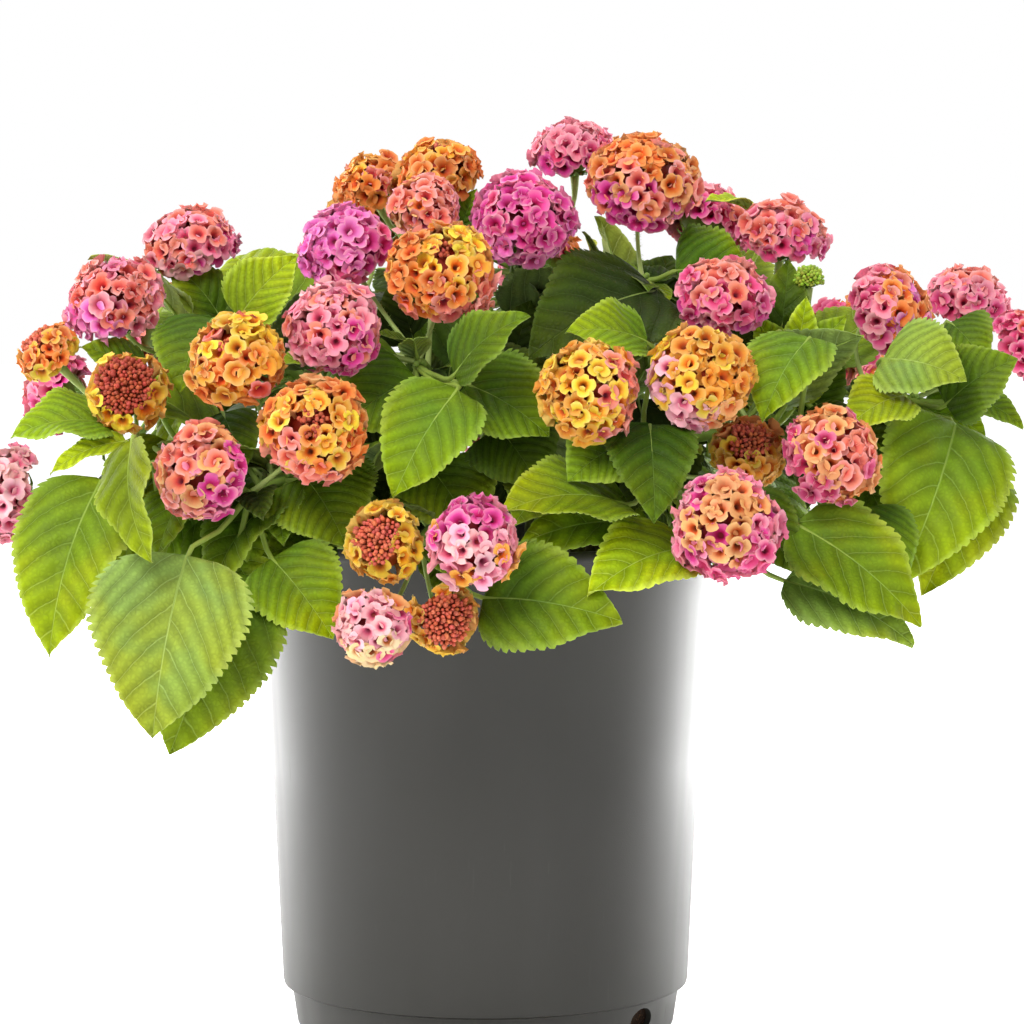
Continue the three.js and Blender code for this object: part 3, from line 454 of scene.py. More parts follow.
        Head("b", (181, 10, 270), 16, (0.15, -0.2, 0.95),
             Look(SALMON, PINK, ROSE, spot=ROSE, spots=0.2), 1),
        Head("c", (197, -24, 255), 13.5, (0.8, -0.3, 0.5), Look(CORAL, ROSE, ROSE), 1),
    ), leaves=(
        Spot((141, -58, 250), (168, -74, 241), 36, (0, -0.85, 0.5), SAGE),
        Spot((167, -50, 235), (192, -56, 252), 32, (0.1, -0.75, 0.65), MID),
        Spot((179, -15, 256), (186, -28, 238), 24, (0.2, -0.8, 0.5), MID),
        Spot((171, -46, 228), (148, -76, 172), 50, (0.15, -0.95, 0.25), FRESH),
        Spot((96, -6, 204), (132, -14, 162), 46, (0.85, -0.1, 0.5), DEEP),
    ), young=(
        Spot((178, -36, 237), (196, -42, 226), 13, (0.1, -0.8, 0.6), MID),
        Spot((177, -38, 216), (158, -62, 167), 40, (0.2, -0.95, 0.2), FRESH),
        Spot((132, -50, 216), (146, -56, 191), 28, STEEP, DEEP),
        Spot((160, -24, 232), (184, -26, 222), 28, SLANTED, FRESH),
        Spot((137, -34, 214), (150, -36, 238), 20, STEEP, DEEP),
    )),
    Shoot("back_left", (-24, 18), (-84, 50, 246), 10,
          pairs=((0.5, 90, 60), (0.68, 0, 64), (0.84, 90, 60)), heads=(
        Head("a", (-126, 60, 260), 18, (-0.7, 0.5, 0.6), SUNSET, 1),
        Head("b", (-80, 100, 250), 19, (-0.5, 0.8, 0.4), ROSY, 1),
        Head("c", (-46, 66, 298), 17.5, (-0.2, 0.5, 0.85), GOLDEN, 0.9),
    ), leaves=(
        Spot((-66, 62, 206), (-96, 97, 160), 48, (-0.6, 0.6, 0.5), FRESH),
        Spot((-86, 38, 212), (-126, 50, 172), 46, (-0.8, 0.3, 0.5), MID),
        Spot((-44, 76, 204), (-58, 118, 162), 46, (-0.3, 0.85, 0.4), SAGE),
    )),
    Shoot("back", (4, 26), (6, 84, 232), 12, pairs=((0.5, 0, 60), (0.68, 90, 64), (0.84, 0, 60)), heads=(
        Head("a", (0, 132, 222), 18.5, (0, 0.95, 0.3), PURPLE, 1),
        Head("b", (22, 96, 282), 18, (0.1, 0.7, 0.7), SUNSET, 0.95),
    ), leaves=(
        Spot((-10, 86, 200), (-20, 128, 156), 46, (-0.2, 0.85, 0.4), MID),
        Spot((24, 84, 200), (38, 126, 154), 48, (0.2, 0.85, 0.4), FRESH),
    )),
    Shoot("back_right", (27, 17), (92, 48, 244), 10,
          pairs=((0.5, 90, 60), (0.68, 0, 64), (0.84, 90, 60), (0.98, 10, 50)), heads=(
        Head("a", (76, 112, 246), 18, (0.4, 0.85, 0.35), GOLDEN, 1),
        Head("b", (84, 54, 300), 17, (0.3, 0.35, 0.9), ROSY, 0.95),
        Head("c", (138, 62, 254), 18, (0.75, 0.5, 0.45), SUNSET, 1),
    ), leaves=(
        Spot((103, 24, 301), (82, 14, 305), 24, (0, -0.25, 0.95), LIME),
        Spot((64, 14, 252), (98, 6, 244), 44, (0.2, -0.1, 0.95), MID),
        Spot((62, 68, 206), (84, 108, 160), 46, (0.4, 0.75, 0.45), MID),
        Spot((86, 44, 210), (126, 66, 166), 48, (0.75, 0.5, 0.4), FRESH),
        Spot((90, 18, 206), (132, 20, 160), 46, (0.9, 0, 0.4), MID),
    )),
)


# ---- the workbench


class Bench:
    """The modelling steps that every stamp and piece shares."""

    @staticmethod
    @contextmanager
    def editing(made: Object) -> Iterator[bmesh.types.BMesh]:
        """Puts an object in edit mode for the length of a with block.

        Args:
            made: The object to edit.

        Returns:
            Its mesh as edit mode holds it.
        """
        bpy.ops.object.mode_set(mode="EDIT")
        bpy.ops.mesh.select_mode(type="VERT")
        try:
            yield bmesh.from_edit_mesh(made.data)
        finally:
            bpy.ops.object.mode_set(mode="OBJECT")

    @staticmethod
    def turned(rings: Sequence[tuple[int, float, float]]) -> Object:
        """Models a closed turned body: circles bridged in order, with both ends filled.

        Args:
            rings: The number of corners, radius and height of each circle.

        Returns:
            The body, its axis along Z.
        """
        bpy.ops.object.select_all(action="DESELECT")
        corners, radius, height = rings[0]
        bpy.ops.mesh.primitive_circle_add(vertices=corners, radius=radius, location=(0, 0, height))
        bpy.ops.object.transform_apply(location=True, rotation=False, scale=False)
        made = bpy.context.active_object
        starts = np.cumsum([0, *[ring[0] for ring in rings]])
        with Bench.editing(made):
            for corners, radius, height in rings[1:]:
                bpy.ops.mesh.select_all(action="DESELECT")
                bpy.ops.mesh.primitive_circle_add(vertices=corners, radius=radius, location=(0, 0, height))
            for first in range(len(rings) - 1):
                Bench.pick(made, starts[first], starts[first + 2])
                bpy.ops.mesh.bridge_edge_loops()
            for first in (0, len(rings) - 1):
                Bench.pick(made, starts[first], starts[first + 1])
                bpy.ops.mesh.edge_face_add()
            bpy.ops.mesh.select_all(action="SELECT")
            bpy.ops.mesh.normals_make_consistent(inside=False)
        return made

    @staticmethod
    def pick(made: Object, first: int, end: int) -> None:
        """Selects a run of vertices in edit mode, and what lies between them.

        Args:
            made: The object in edit mode.
            first: The first vertex.
            end: The one after the last.
        """
        bpy.ops.mesh.select_all(action="DESELECT")
        edited = bmesh.from_edit_mesh(made.data)
        edited.verts.ensure_lookup_table()
        for index in range(int(first), int(end)):
            edited.verts[index].select_set(True)
        edited.select_flush_mode()
        edited.select_flush(True)
        bmesh.update_edit_mesh(made.data)

    @staticmethod
    def take(made: Object) -> None:
        """Selects an object alone and makes it active.

        Args:
            made: The object.
        """
        bpy.ops.object.select_all(action="DESELECT")
        made.select_set(True)
        bpy.context.view_layer.objects.active = made

    @staticmethod
    def finish(made: Object, kind: str, **settings: Any) -> None:
        """Adds a modifier with its settings and applies it.

        Args:
            made: The object.
            kind: The modifier's type.
            **settings: Its settings.
        """
        Bench.take(made)
        modifier = made.modifiers.new(kind.title(), kind)
        for setting, value in settings.items():
            setattr(modifier, setting, value)
        bpy.ops.object.modifier_apply(modifier=modifier.name)

    @staticmethod
    def hand_over(made: Object, name: str, node: str, slot: str, material: Material) -> None:
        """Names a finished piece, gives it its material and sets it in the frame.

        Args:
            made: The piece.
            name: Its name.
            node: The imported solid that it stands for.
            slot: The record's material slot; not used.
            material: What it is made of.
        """
        made.name = name
        made.data.name = name
        if material.name not in made.data.materials:
            made.data.materials.append(material)
        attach(made, BODY)
        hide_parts(node)
        LOG.info("%s: %d faces, for node %s", name, len(made.data.polygons), node)


@dataclass(frozen=True)
class Stamp:
    """A small shape modelled once, kept as arrays and copied wherever the plant repeats it.

    Attributes:
        points: Its corners, one row each.
        corners: The corners of its faces, one face after the other.
        counts: How many corners each face has.
        keen: Which of its corners lie on a crisp edge, all of them or none where it is a single value.
    """

    points: np.ndarray
    corners: np.ndarray
    counts: np.ndarray
    keen: np.ndarray | bool = False

    @classmethod
    def taken_from(cls, made: Object) -> Stamp:
        """Takes the shape of a modelled object and clears the object away.

        Args:
            made: The object, which is gone afterwards.

        Returns:
            Its shape.
        """
        mesh = made.data
        points = np.empty(len(mesh.vertices) * 3)
        corners = np.empty(len(mesh.loops), dtype=np.int64)
        counts = np.empty(len(mesh.polygons), dtype=np.int64)
        mesh.vertices.foreach_get("co", points)
        mesh.loops.foreach_get("vertex_index", corners)
        mesh.polygons.foreach_get("loop_total", counts)
        bpy.data.objects.remove(made)
        bpy.data.meshes.remove(mesh)
        return cls(points.reshape(-1, 3), corners, counts)


class Cluster:
    """Copies of stamps joined in one mesh, each corner with its colour and its place on a blade."""

    def __init__(self) -> None:
        """Starts an empty cluster."""
        names = ("points", "corners", "counts", "colours", "places", "kinds", "keen")
        self.parts: dict[str, list[np.ndarray]] = {name: [] for name in names}
        self.size = 0

    def add(
        self,
        stamp: Stamp,
        points: np.ndarray,
        colours: np.ndarray,
        places: np.ndarray | None = None,
        kind: int = 0,
    ) -> None:
        """Adds one copy of a stamp.

        Args:
            stamp: What is copied.
            points: Where its corners go, in millimetres.
            colours: One colour, or one for each corner, of three or four values.
            places: Where each corner lies on its blade.
            kind: Which of the cluster's materials it is made of.
        """
        number = len(points)
        shades = np.broadcast_to(np.atleast_2d(colours), (number, np.shape(colours)[-1]))
        if shades.shape[1] == 3:
            shades = np.column_stack([shades, np.zeros(number)])
        places = np.zeros((number, 2)) if places is None else places
        kinds = np.full(len(stamp.counts), kind)
        keen = np.broadcast_to(stamp.keen, number)
        new = (points, stamp.corners + self.size, stamp.counts, shades, places, kinds, keen)
        for rows, row in zip(self.parts.values(), new):
            rows.append(row)
        self.size += number

    def piece(self, name: str) -> Object:
        """Writes the cluster as one object, smooth-shaded apart from its crisp edges.

        Args:
            name: The object's name.

        Returns:
            The object, with the point colours "tint" and the UV map "blade".
        """
        points, corners, counts, colours, places, kinds, keen = map(np.concatenate, self.parts.values())
        mesh = bpy.data.meshes.new(name)
        mesh.vertices.add(self.size)
        mesh.vertices.foreach_set("co", (points * MM).ravel())
        mesh.loops.add(len(corners))
        mesh.loops.foreach_set("vertex_index", corners.astype(np.int32))
        mesh.polygons.add(len(counts))
        mesh.polygons.foreach_set("loop_start", (np.cumsum(counts) - counts).astype(np.int32))
        mesh.polygons.foreach_set("material_index", kinds.astype(np.int32))
        mesh.polygons.foreach_set("use_smooth", np.ones(len(counts), dtype=bool))
        tint = mesh.color_attributes.new(name="tint", type="FLOAT_COLOR", domain="POINT")
        tint.data.foreach_set("color", colours.ravel())
        blade = mesh.uv_layers.new(name="blade")
        blade.uv.foreach_set("vector", places[corners].ravel())
        mesh.update(calc_edges=True)
        mesh.validate()
        ends = np.empty(len(mesh.edges) * 2, dtype=np.int32)
        mesh.edges.foreach_get("vertices", ends)
        mesh.edges.foreach_set("use_edge_sharp", keen[ends.reshape(-1, 2)].all(axis=1))
        made = bpy.data.objects.new(name, mesh)
        bpy.context.scene.collection.objects.link(made)
        return made


# ---- finishes


class Graph:
    """A material's or a group's nodes, added and linked in one go."""

    FACTOR, FIRST, SECOND, RESULT = 0, 6, 7, 2  # a Mix node's sockets for colours

    def __init__(self, tree: NodeTree) -> None:
        """Works on a tree of nodes."""
        self.tree = tree

    def feed(self, made: Node, feeds: dict[str | int, Any]) -> None:
        """Links outputs to a node's inputs, or sets the inputs' own values.

        Args:
            made: The node.
            feeds: An output or a plain value for the name or number of each input.
        """
        for name, value in feeds.items():
            if isinstance(value, NodeSocket):
                self.tree.links.new(value, made.inputs[name])
            else:
                made.inputs[name].default_value = value

    def node(self, kind: str, feeds: dict[str | int, Any] | None = None, **settings: Any) -> Node:
        """Adds a node.

        Args:
            kind: Its type, without the leading ShaderNode.
            feeds: What goes into its inputs.
            **settings: Its properties.

        Returns:
            The node.
        """
        made = self.tree.nodes.new(f"ShaderNode{kind}")
        for setting, value in settings.items():
            setattr(made, setting, value)
        self.feed(made, feeds or {})
        return made

    def sum(self, operation: str, *values: Any) -> NodeSocket:
        """The result of a Math node for one to three values."""
        return self.node("Math", dict(enumerate(values)), operation=operation).outputs[0]

    def ramp(self, *values: Any) -> NodeSocket:
        """A value mapped smoothly from a low and a high end on to new ones, 0 and 1 where not given."""
        return self.node("MapRange", dict(enumerate(values)), interpolation_type="SMOOTHSTEP").outputs[0]

    def blend(self, share: Any, first: Any, second: Any, way: str = "MIX") -> NodeSocket:
        """Two colours mixed."""
        feeds = {self.FACTOR: share, self.FIRST: first, self.SECOND: second}
        return self.node("Mix", feeds, data_type="RGBA", blend_type=way).outputs[self.RESULT]

    def bright(self, colour: Any, value: Any, saturation: float = 1.0) -> NodeSocket:
        """A colour made brighter or darker, and stronger or weaker."""
        feeds = {"Color": colour, "Value": value, "Saturation": saturation}
        return self.node("HueSaturation", feeds).outputs[0]

    def bump(self, height: Any, strength: float, depth: float) -> NodeSocket:
        """A normal bumped by a height that stands for depth metres."""
        return self.node("Bump", {"Height": height, "Strength": strength, "Distance": depth}).outputs[0]

    def tint(self) -> NodeOutputs:
        """The point colours that a piece carries, as outputs."""
        return self.node("Attribute", attribute_name="tint").outputs

    def grain(
        self,
        scale: Any,
        detail: float = 3.0,
        rough: float = 0.55,
        drawn: float = 1.0,
        turn: tuple[float, float, float] = (0, 0, 0),
    ) -> NodeSocket:
        """Noise over the piece's own coordinates.

        Args:
            scale: How many waves there are in a metre.
            detail: How many finer waves ride on them.
            rough: How strong the finer waves are.
            drawn: Factor on the coordinates' Z, below 1 to draw the noise out.
            turn: Turn of the coordinates, in radians.

        Returns:
            The noise, from 0 to 1.
        """
        place = self.node("TexCoord").outputs["Object"]
        if drawn != 1.0:
            feeds = {"Vector": place, "Rotation": turn, "Scale": (1, 1, drawn)}
            place = self.node("Mapping", feeds).outputs[0]
        feeds = {"Vector": place, "Scale": scale, "Detail": detail, "Roughness": rough}
        return self.node("TexNoise", feeds).outputs[0]


class Mottle:
    """The uneven tone of every grown or moulded surface, as a group that each material sets for itself."""

    NAME = "mottle"
    FINER = 5.0
    FINE_SHARE = 0.4

    @classmethod
    def tree(cls) -> NodeTree:
        """Builds the group, the first time that it is asked for.

        Returns:
            The group's tree.
        """
        if cls.NAME in bpy.data.node_groups:
            return bpy.data.node_groups[cls.NAME]
        tree = bpy.data.node_groups.new(cls.NAME, "ShaderNodeTree")
        for name, kind in (("Colour", "Color"), ("Scale", "Float"), ("Strength", "Float")):
            tree.interface.new_socket(name, in_out="INPUT", socket_type=f"NodeSocket{kind}")
        tree.interface.new_socket("Colour", in_out="OUTPUT", socket_type="NodeSocketColor")
        tree.interface.new_socket("Height", in_out="OUTPUT", socket_type="NodeSocketFloat")
        graph = Graph(tree)
        given = tree.nodes.new("NodeGroupInput").outputs
        broad = graph.grain(given["Scale"], 2.0, 0.5)
        fine = graph.grain(graph.sum("MULTIPLY", given["Scale"], cls.FINER), 4.0, 0.5)
        coarse = graph.sum("MULTIPLY", broad, 1.0 - cls.FINE_SHARE)
        height = graph.sum("MULTIPLY_ADD", fine, cls.FINE_SHARE, coarse)
        swing = graph.sum("MULTIPLY", graph.sum("SUBTRACT", height, 0.5), given["Strength"])
        colour = graph.bright(given["Colour"], graph.sum("ADD", 1.0, swing))
        graph.feed(tree.nodes.new("NodeGroupOutput"), {"Colour": colour, "Height": height})
        return tree

    @classmethod
    def lay(cls, graph: Graph, colour: Any, scale: float, strength: float) -> tuple[Any, Any]:
        """Puts the group in a material.

        Args:
            graph: The material's nodes.
            colour: The colour that it makes uneven.
            scale: How many patches there are in a metre.
            strength: How far they stray in brightness.

        Returns:
            The uneven colour and the height that goes with it.
        """
        made = graph.node("Group", node_tree=cls.tree())
        graph.feed(made, {"Colour": colour, "Scale": scale, "Strength": strength})
        return made.outputs["Colour"], made.outputs["Height"]


@dataclass(frozen=True)
class Finish:
    """What every finish has.

    Attributes:
        name: The material's name.
        roughness: How rough it is.
        specular: How strongly it mirrors.
        mottle: How far its patches stray in brightness.
        patches: How many patches there are in a metre.
        relief: Strength of its bump.
        depth: Depth of its bump, in metres.
    """

    name: str
    roughness: float
    specular: float
    mottle: float
    patches: float
    relief: float
    depth: float

    def build(self) -> Material:
        """Builds the finish.

        Returns:
            The material.
        """
        material = bpy.data.materials.new(self.name)
        material.use_nodes = True
        graph = Graph(material.node_tree)
        shader = material.node_tree.nodes["Principled BSDF"]
        graph.feed(shader, {"Roughness": self.roughness, "Specular IOR Level": self.specular})
        graph.feed(shader, self.feeds(graph))
        return material

    def feeds(self, graph: Graph) -> dict[str | int, Any]:
        """Says what each kind of finish puts into its main shader.

        Args:
            graph: The material's nodes.

        Returns:
            An output or a plain value for each input's name.
        """
        raise NotImplementedError

    def mottled(self, graph: Graph, colour: Any) -> tuple[Any, Any]:
        """A colour made uneven in this finish's own way, and the height that goes with it."""
        return Mottle.lay(graph, colour, self.patches, self.mottle)

    def bumped(self, graph: Graph, height: Any) -> NodeSocket:
        """A normal bumped by this finish's own relief."""
        return graph.bump(height, self.relief, self.depth)


@dataclass(frozen=True)
class PetalFinish(Finish):
    """Soft petals and buds that take their colour from the florets they belong to."""

    glow: float = 0.12
    glow_depth: float = 0.0012
    glow_colour: tuple[float, float, float] = (1.0, 0.5, 0.4)

    def feeds(self, graph: Graph) -> dict[str | int, Any]:
        """What goes into the main shader's inputs.

        Args:
            graph: The material's nodes.

        Returns:
            The feeds by the inputs' names.
        """
        colour, height = self.mottled(graph, graph.tint()["Color"])
        return {
            "Base Color": colour,
            "Roughness": graph.ramp(height, 0.3, 0.7, self.roughness - 0.08, self.roughness),
            "Normal": self.bumped(graph, height),
            "Subsurface Weight": self.glow,
            "Subsurface Radius": self.glow_colour,
            "Subsurface Scale": self.glow_depth,
        }


@dataclass(frozen=True)
class BladeFinish(Finish):
    """A leaf blade: light veins on a puckered green, painted shade in its furrows, a painted highlight on its
    edge.

    Attributes:
        laterals: How many side veins a blade has on each side for its whole length.
        rise: How steeply they leave the midrib, in lengths.
        bend: How strongly they curve towards the tip.
        stagger: How far the veins of one side lie behind the other's, in veins.
        wander: How far they stray, in veins.
        midrib_width: Width of the midrib at its foot, in lengths, and how much of it is lost to the tip.
        lateral_width: Width of a side vein at the midrib, in veins, and how fast it tapers.
        cells: How many puckers there are in a metre.
        sunned: Factors on the colour where the sun has bleached the blade.
        pale_midrib: How light the midrib is.
        pale_lateral: How light the side veins are.
        painted_edge_highlight: How light the painted highlight along the edge is.
    """

    laterals: float = 6.2
    rise: float = 0.72
    bend: float = 1.1
    stagger: float = 0.4
    wander: float = 0.5
    midrib_width: tuple[float, float] = (0.0125, 0.009)
    lateral_width: tuple[float, float] = (0.06, 0.07)
    cells: float = 560.0
    sunned: tuple[float, float, float, float] = (1.25, 1.05, 0.5, 1.0)
    pale_midrib: float = 0.8
    pale_lateral: float = 0.42
    painted_edge_highlight: float = 0.5

    def veins(self, graph: Graph) -> tuple[Any, Any, Any]:
        """Draws the veins from the blade's UV map.

        Args:
            graph: The material's nodes.

        Returns:
            The masks of the midrib, the side veins and the pillows between them.
        """
        place = graph.node("SeparateXYZ", {0: graph.node("UVMap", uv_map="blade").outputs[0]})
        along = place.outputs[1]
        across = graph.sum("SUBTRACT", place.outputs[0], 0.5)
        aside = graph.sum("ABSOLUTE", across)
        width, loss = self.midrib_width
        midrib = graph.ramp(aside, 0.0, graph.sum("MULTIPLY_ADD", along, -loss, width), 1.0, 0.0)
        drop = graph.sum("MULTIPLY", aside, graph.sum("MULTIPLY_ADD", aside, self.bend, self.rise))
        shift = graph.sum("MULTIPLY", graph.sum("GREATER_THAN", across, 0.0), self.stagger)
        wobble = graph.sum("MULTIPLY_ADD", graph.grain(75.0, 2.0), self.wander, shift)
        phase = graph.sum("MULTIPLY_ADD", graph.sum("SUBTRACT", along, drop), self.laterals, wobble)
        share = graph.sum("FRACT", graph.sum("SUBTRACT", phase, self.wander / 2))
        apart = graph.sum("SUBTRACT", 0.5, graph.sum("ABSOLUTE", graph.sum("SUBTRACT", share, 0.5)))
        width, loss = self.lateral_width
        lateral = graph.ramp(apart, 0.0, graph.sum("MULTIPLY_ADD", aside, -loss, width), 1.0, 0.0)
        return midrib, lateral, graph.ramp(apart, 0.0, 0.5)

    def feeds(self, graph: Graph) -> dict[str | int, Any]:
        """What goes into the main shader's inputs.

        Args:
            graph: The material's nodes.

        Returns:
            The feeds by the inputs' names.
        """
        tint = graph.tint()
        midrib, lateral, pillow = self.veins(graph)
        feeds = {"Vector": graph.node("TexCoord").outputs["Object"], "Scale": self.cells}
        net = graph.node("TexVoronoi", feeds, feature="DISTANCE_TO_EDGE")
        cell = graph.ramp(net.outputs["Distance"], 0.0, 0.35)
        sunned = graph.blend(1.0, tint["Color"], self.sunned, "MULTIPLY")
        patch = graph.ramp(graph.grain(34.0, 2.0), 0.44, 0.62, 0.0, 0.8)
        green = graph.blend(patch, tint["Color"], sunned)
        colour, height = self.mottled(graph, green)
        # Painted shade: the green is darkened in the furrows next to the side veins and along the edges of
        # the puckers.
        shade = graph.sum("MULTIPLY_ADD", cell, 0.14, graph.sum("MULTIPLY_ADD", pillow, 0.32, 0.68))
        veined = graph.sum("MULTIPLY", lateral, self.pale_lateral)
        veined = graph.sum("MAXIMUM", graph.sum("MULTIPLY", midrib, self.pale_midrib), veined)
        # Painted highlight: the blade is lightened along its edge, where the tint's alpha marks the margin.
        pale = graph.sum("MAXIMUM", veined, graph.sum("MULTIPLY", tint["Alpha"], self.painted_edge_highlight))
        raised = graph.sum("MULTIPLY_ADD", cell, 0.22, graph.sum("MULTIPLY", pillow, 0.65))
        sunk = graph.sum("MULTIPLY_ADD", graph.sum("MAXIMUM", midrib, lateral), -0.5, raised)
        full = graph.sum("MULTIPLY_ADD", height, 0.3, sunk)
        return {
            "Base Color": graph.blend(pale, graph.bright(colour, shade), graph.bright(colour, 1.8, 0.85)),
            "Normal": self.bumped(graph, full),
            "Roughness": graph.ramp(height, 0.3, 0.7, self.roughness - 0.07, self.roughness + 0.07),
        }


@dataclass(frozen=True)
class StemFinish(Finish):
    """Green to woody stems, ribbed along their length by fine grain."""

    ribs: float = 1400.0
    drawn: float = 0.15

    def feeds(self, graph: Graph) -> dict[str | int, Any]:
        """What goes into the main shader's inputs.

        Args:
            graph: The material's nodes.

        Returns:
            The feeds by the inputs' names.
        """
        colour, height = self.mottled(graph, graph.tint()["Color"])
        ribs = graph.grain(self.ribs, 2.0, 0.5, self.drawn)
        both = graph.sum("MULTIPLY_ADD", ribs, 0.5, graph.sum("MULTIPLY", height, 0.5))
        return {"Base Color": colour, "Normal": self.bumped(graph, both)}


@dataclass(frozen=True)
class PotFinish(Finish):
    """Satin injection-moulded plastic, faintly flowed and scuffed.

    Attributes:
        colour: The plastic's own colour.
        scuffed: Its colour where it is scuffed.
        flow: How many flow marks there are in a metre.
        scratches: How many scuffs there are in a metre.
        slant: The turn of the scuffs' coordinates, in radians.
    """

    colour: str = "2a2925"
    scuffed: str = "42413d"
    flow: float = 45.0
    scratches: float = 900.0
    slant: tuple[float, float, float] = (0.0, 0.35, 0.2)

    def feeds(self, graph: Graph) -> dict[str | int, Any]:
        """What goes into the main shader's inputs.

        Args:
            graph: The material's nodes.

        Returns:
            The feeds by the inputs' names.
        """
        flow = graph.grain(self.flow, 2.0, 0.5, 0.12)
        scuff = graph.ramp(graph.grain(self.scratches, 2.0, 0.5, 0.04, self.slant), 0.66, 0.74)
        worn = graph.sum("MULTIPLY", scuff, graph.ramp(graph.grain(22.0), 0.5, 0.68))
        plain, height = self.mottled(graph, (*linear(self.colour), 1.0))
        scuffed = (*linear(self.scuffed), 1.0)
        satin = graph.ramp(flow, 0.35, 0.65, self.roughness - 0.05, self.roughness + 0.05)
        texture = graph.sum("MULTIPLY", flow, 0.6)
        texture = graph.sum("MULTIPLY_ADD", graph.grain(2600.0, 1.0), 0.35, texture)
        full = graph.sum("MULTIPLY_ADD", height, 0.2, texture)
        return {
            "Base Color": graph.blend(graph.sum("MULTIPLY", worn, 0.5), plain, scuffed),
            "Roughness": graph.sum("MULTIPLY_ADD", worn, 0.15, satin),
            "Normal": self.bumped(graph, full),
        }


@dataclass(frozen=True)
class SoilFinish(Finish):
    """Damp potting soil: dark crumbs with lighter fibres."""

    dark: str = "2a1d14"
    light: str = "6b4f37"
    fibres: float = 700.0

    def feeds(self, graph: Graph) -> dict[str | int, Any]:
        """What goes into the main shader's inputs.

        Args:
            graph: The material's nodes.

        Returns:
            The feeds by the inputs' names.
        """
        tint = graph.tint()
        fibre = graph.ramp(graph.grain(self.fibres, 4.0, 0.7), 0.52, 0.7)
        crumbs = graph.blend(fibre, (*linear(self.dark), 1.0), (*linear(self.light), 1.0))
        both = graph.blend(tint["Alpha"], crumbs, tint["Color"])
        colour, height = self.mottled(graph, both)
        return {"Base Color": colour, "Normal": self.bumped(graph, graph.sum("ADD", fibre, height))}


class Finishes:
    """Every finish of the potted plant, each built once."""

    def __init__(self) -> None:
        """Builds the materials, each from its numbers in the order of Finish."""
        self.petals = PetalFinish("petals", 0.62, 0.3, 0.3, 260.0, 0.25, 0.0004).build()
        self.blade = BladeFinish("leaf_blade", 0.54, 0.12, 0.7, 60.0, 0.7, 0.0007).build()
        self.stem = StemFinish("green_stem", 0.6, 0.35, 0.5, 160.0, 0.5, 0.0005).build()
        self.pot = PotFinish("nursery_plastic", 0.42, 0.5, 0.12, 30.0, 0.22, 0.0003).build()
        self.soil = SoilFinish("potting_soil", 0.95, 0.15, 0.6, 120.0, 0.8, 0.001).build()


# ---- stamps of the plant


@dataclass(frozen=True)
class FloretStamp:
    """An open floret of radius one: a throat, ruffled round lobes, and a tube below.

    Attributes:
        seed: Draws its ruffles.
        lobes: How many lobes it has.
        notch: Depth of the notches between them.
        cup: How far the blade of the lobes stands above the mouth.
        curl: How far the lobes' ends bend back.
        ruffle: How uneven they are.
        tube: Length of the tube.
    """

    seed: int
    lobes: int = 4
    notch: float = 0.32
    cup: float = 0.18
    curl: float = 0.12
    ruffle: float = 0.06
    tube: float = 1.5

    def build(self) -> tuple[Stamp, np.ndarray]:
        """Models the floret.

        Returns:
            The stamp, and each corner's ring, from 0 in the throat to 5 at the tube's foot.
        """
        few, many = 2 * self.lobes, 6 * self.lobes
        rings = (
            (self.lobes, 0.13, -0.5),
            (few, 0.31, -0.12),
            (many, 0.62, self.cup - 0.03),
            (many, 1.0, self.cup),
            (self.lobes, 0.24, -0.5),
            (self.lobes, 0.16, -self.tube),
        )
        stamp = Stamp.taken_from(Bench.turned(rings))
        ring = np.repeat(np.arange(len(rings)), [row[0] for row in rings])
        points = stamp.points.copy()
        rng = Random(f"floret {self.seed}")
        turns = np.arctan2(points[:, 1], points[:, 0]) * self.lobes / (2 * math.pi)
        fall = np.abs(((turns + 0.5) % 1) * 2 - 1) ** 4
        lobe = np.floor(turns + 0.5).astype(int) % self.lobes
        sizes = np.array([rng.uniform(0.88, 1.1) for _ in range(self.lobes)])
        lifts = np.array([rng.gauss(0, self.ruffle) for _ in range(self.lobes)])
        for number, share in ((3, 1.0), (2, 0.4)):
            here = ring == number
            wild = np.array([[rng.gauss(0, 1), rng.gauss(0, 1)] for _ in range(int(here.sum()))])
            reach = sizes[lobe[here]] * (1 - share * self.notch * fall[here]) + share * 0.02 * wild[:, 0]
            points[here, :2] *= reach[:, None]
            bend = lifts[lobe[here]] + 0.35 * self.ruffle * wild[:, 1] - self.curl * (1 - 2 * fall[here])
            points[here, 2] += share * bend
        return Stamp(points, stamp.corners, stamp.counts, ring == 3), ring


class Grid(Enum):
    """How many rows and columns a flat blade has, by what it is for."""

    LARGE = (72, 12)
    MEDIUM = (48, 10)
    YOUNG = (24, 6)
    BRACT = (6, 2)


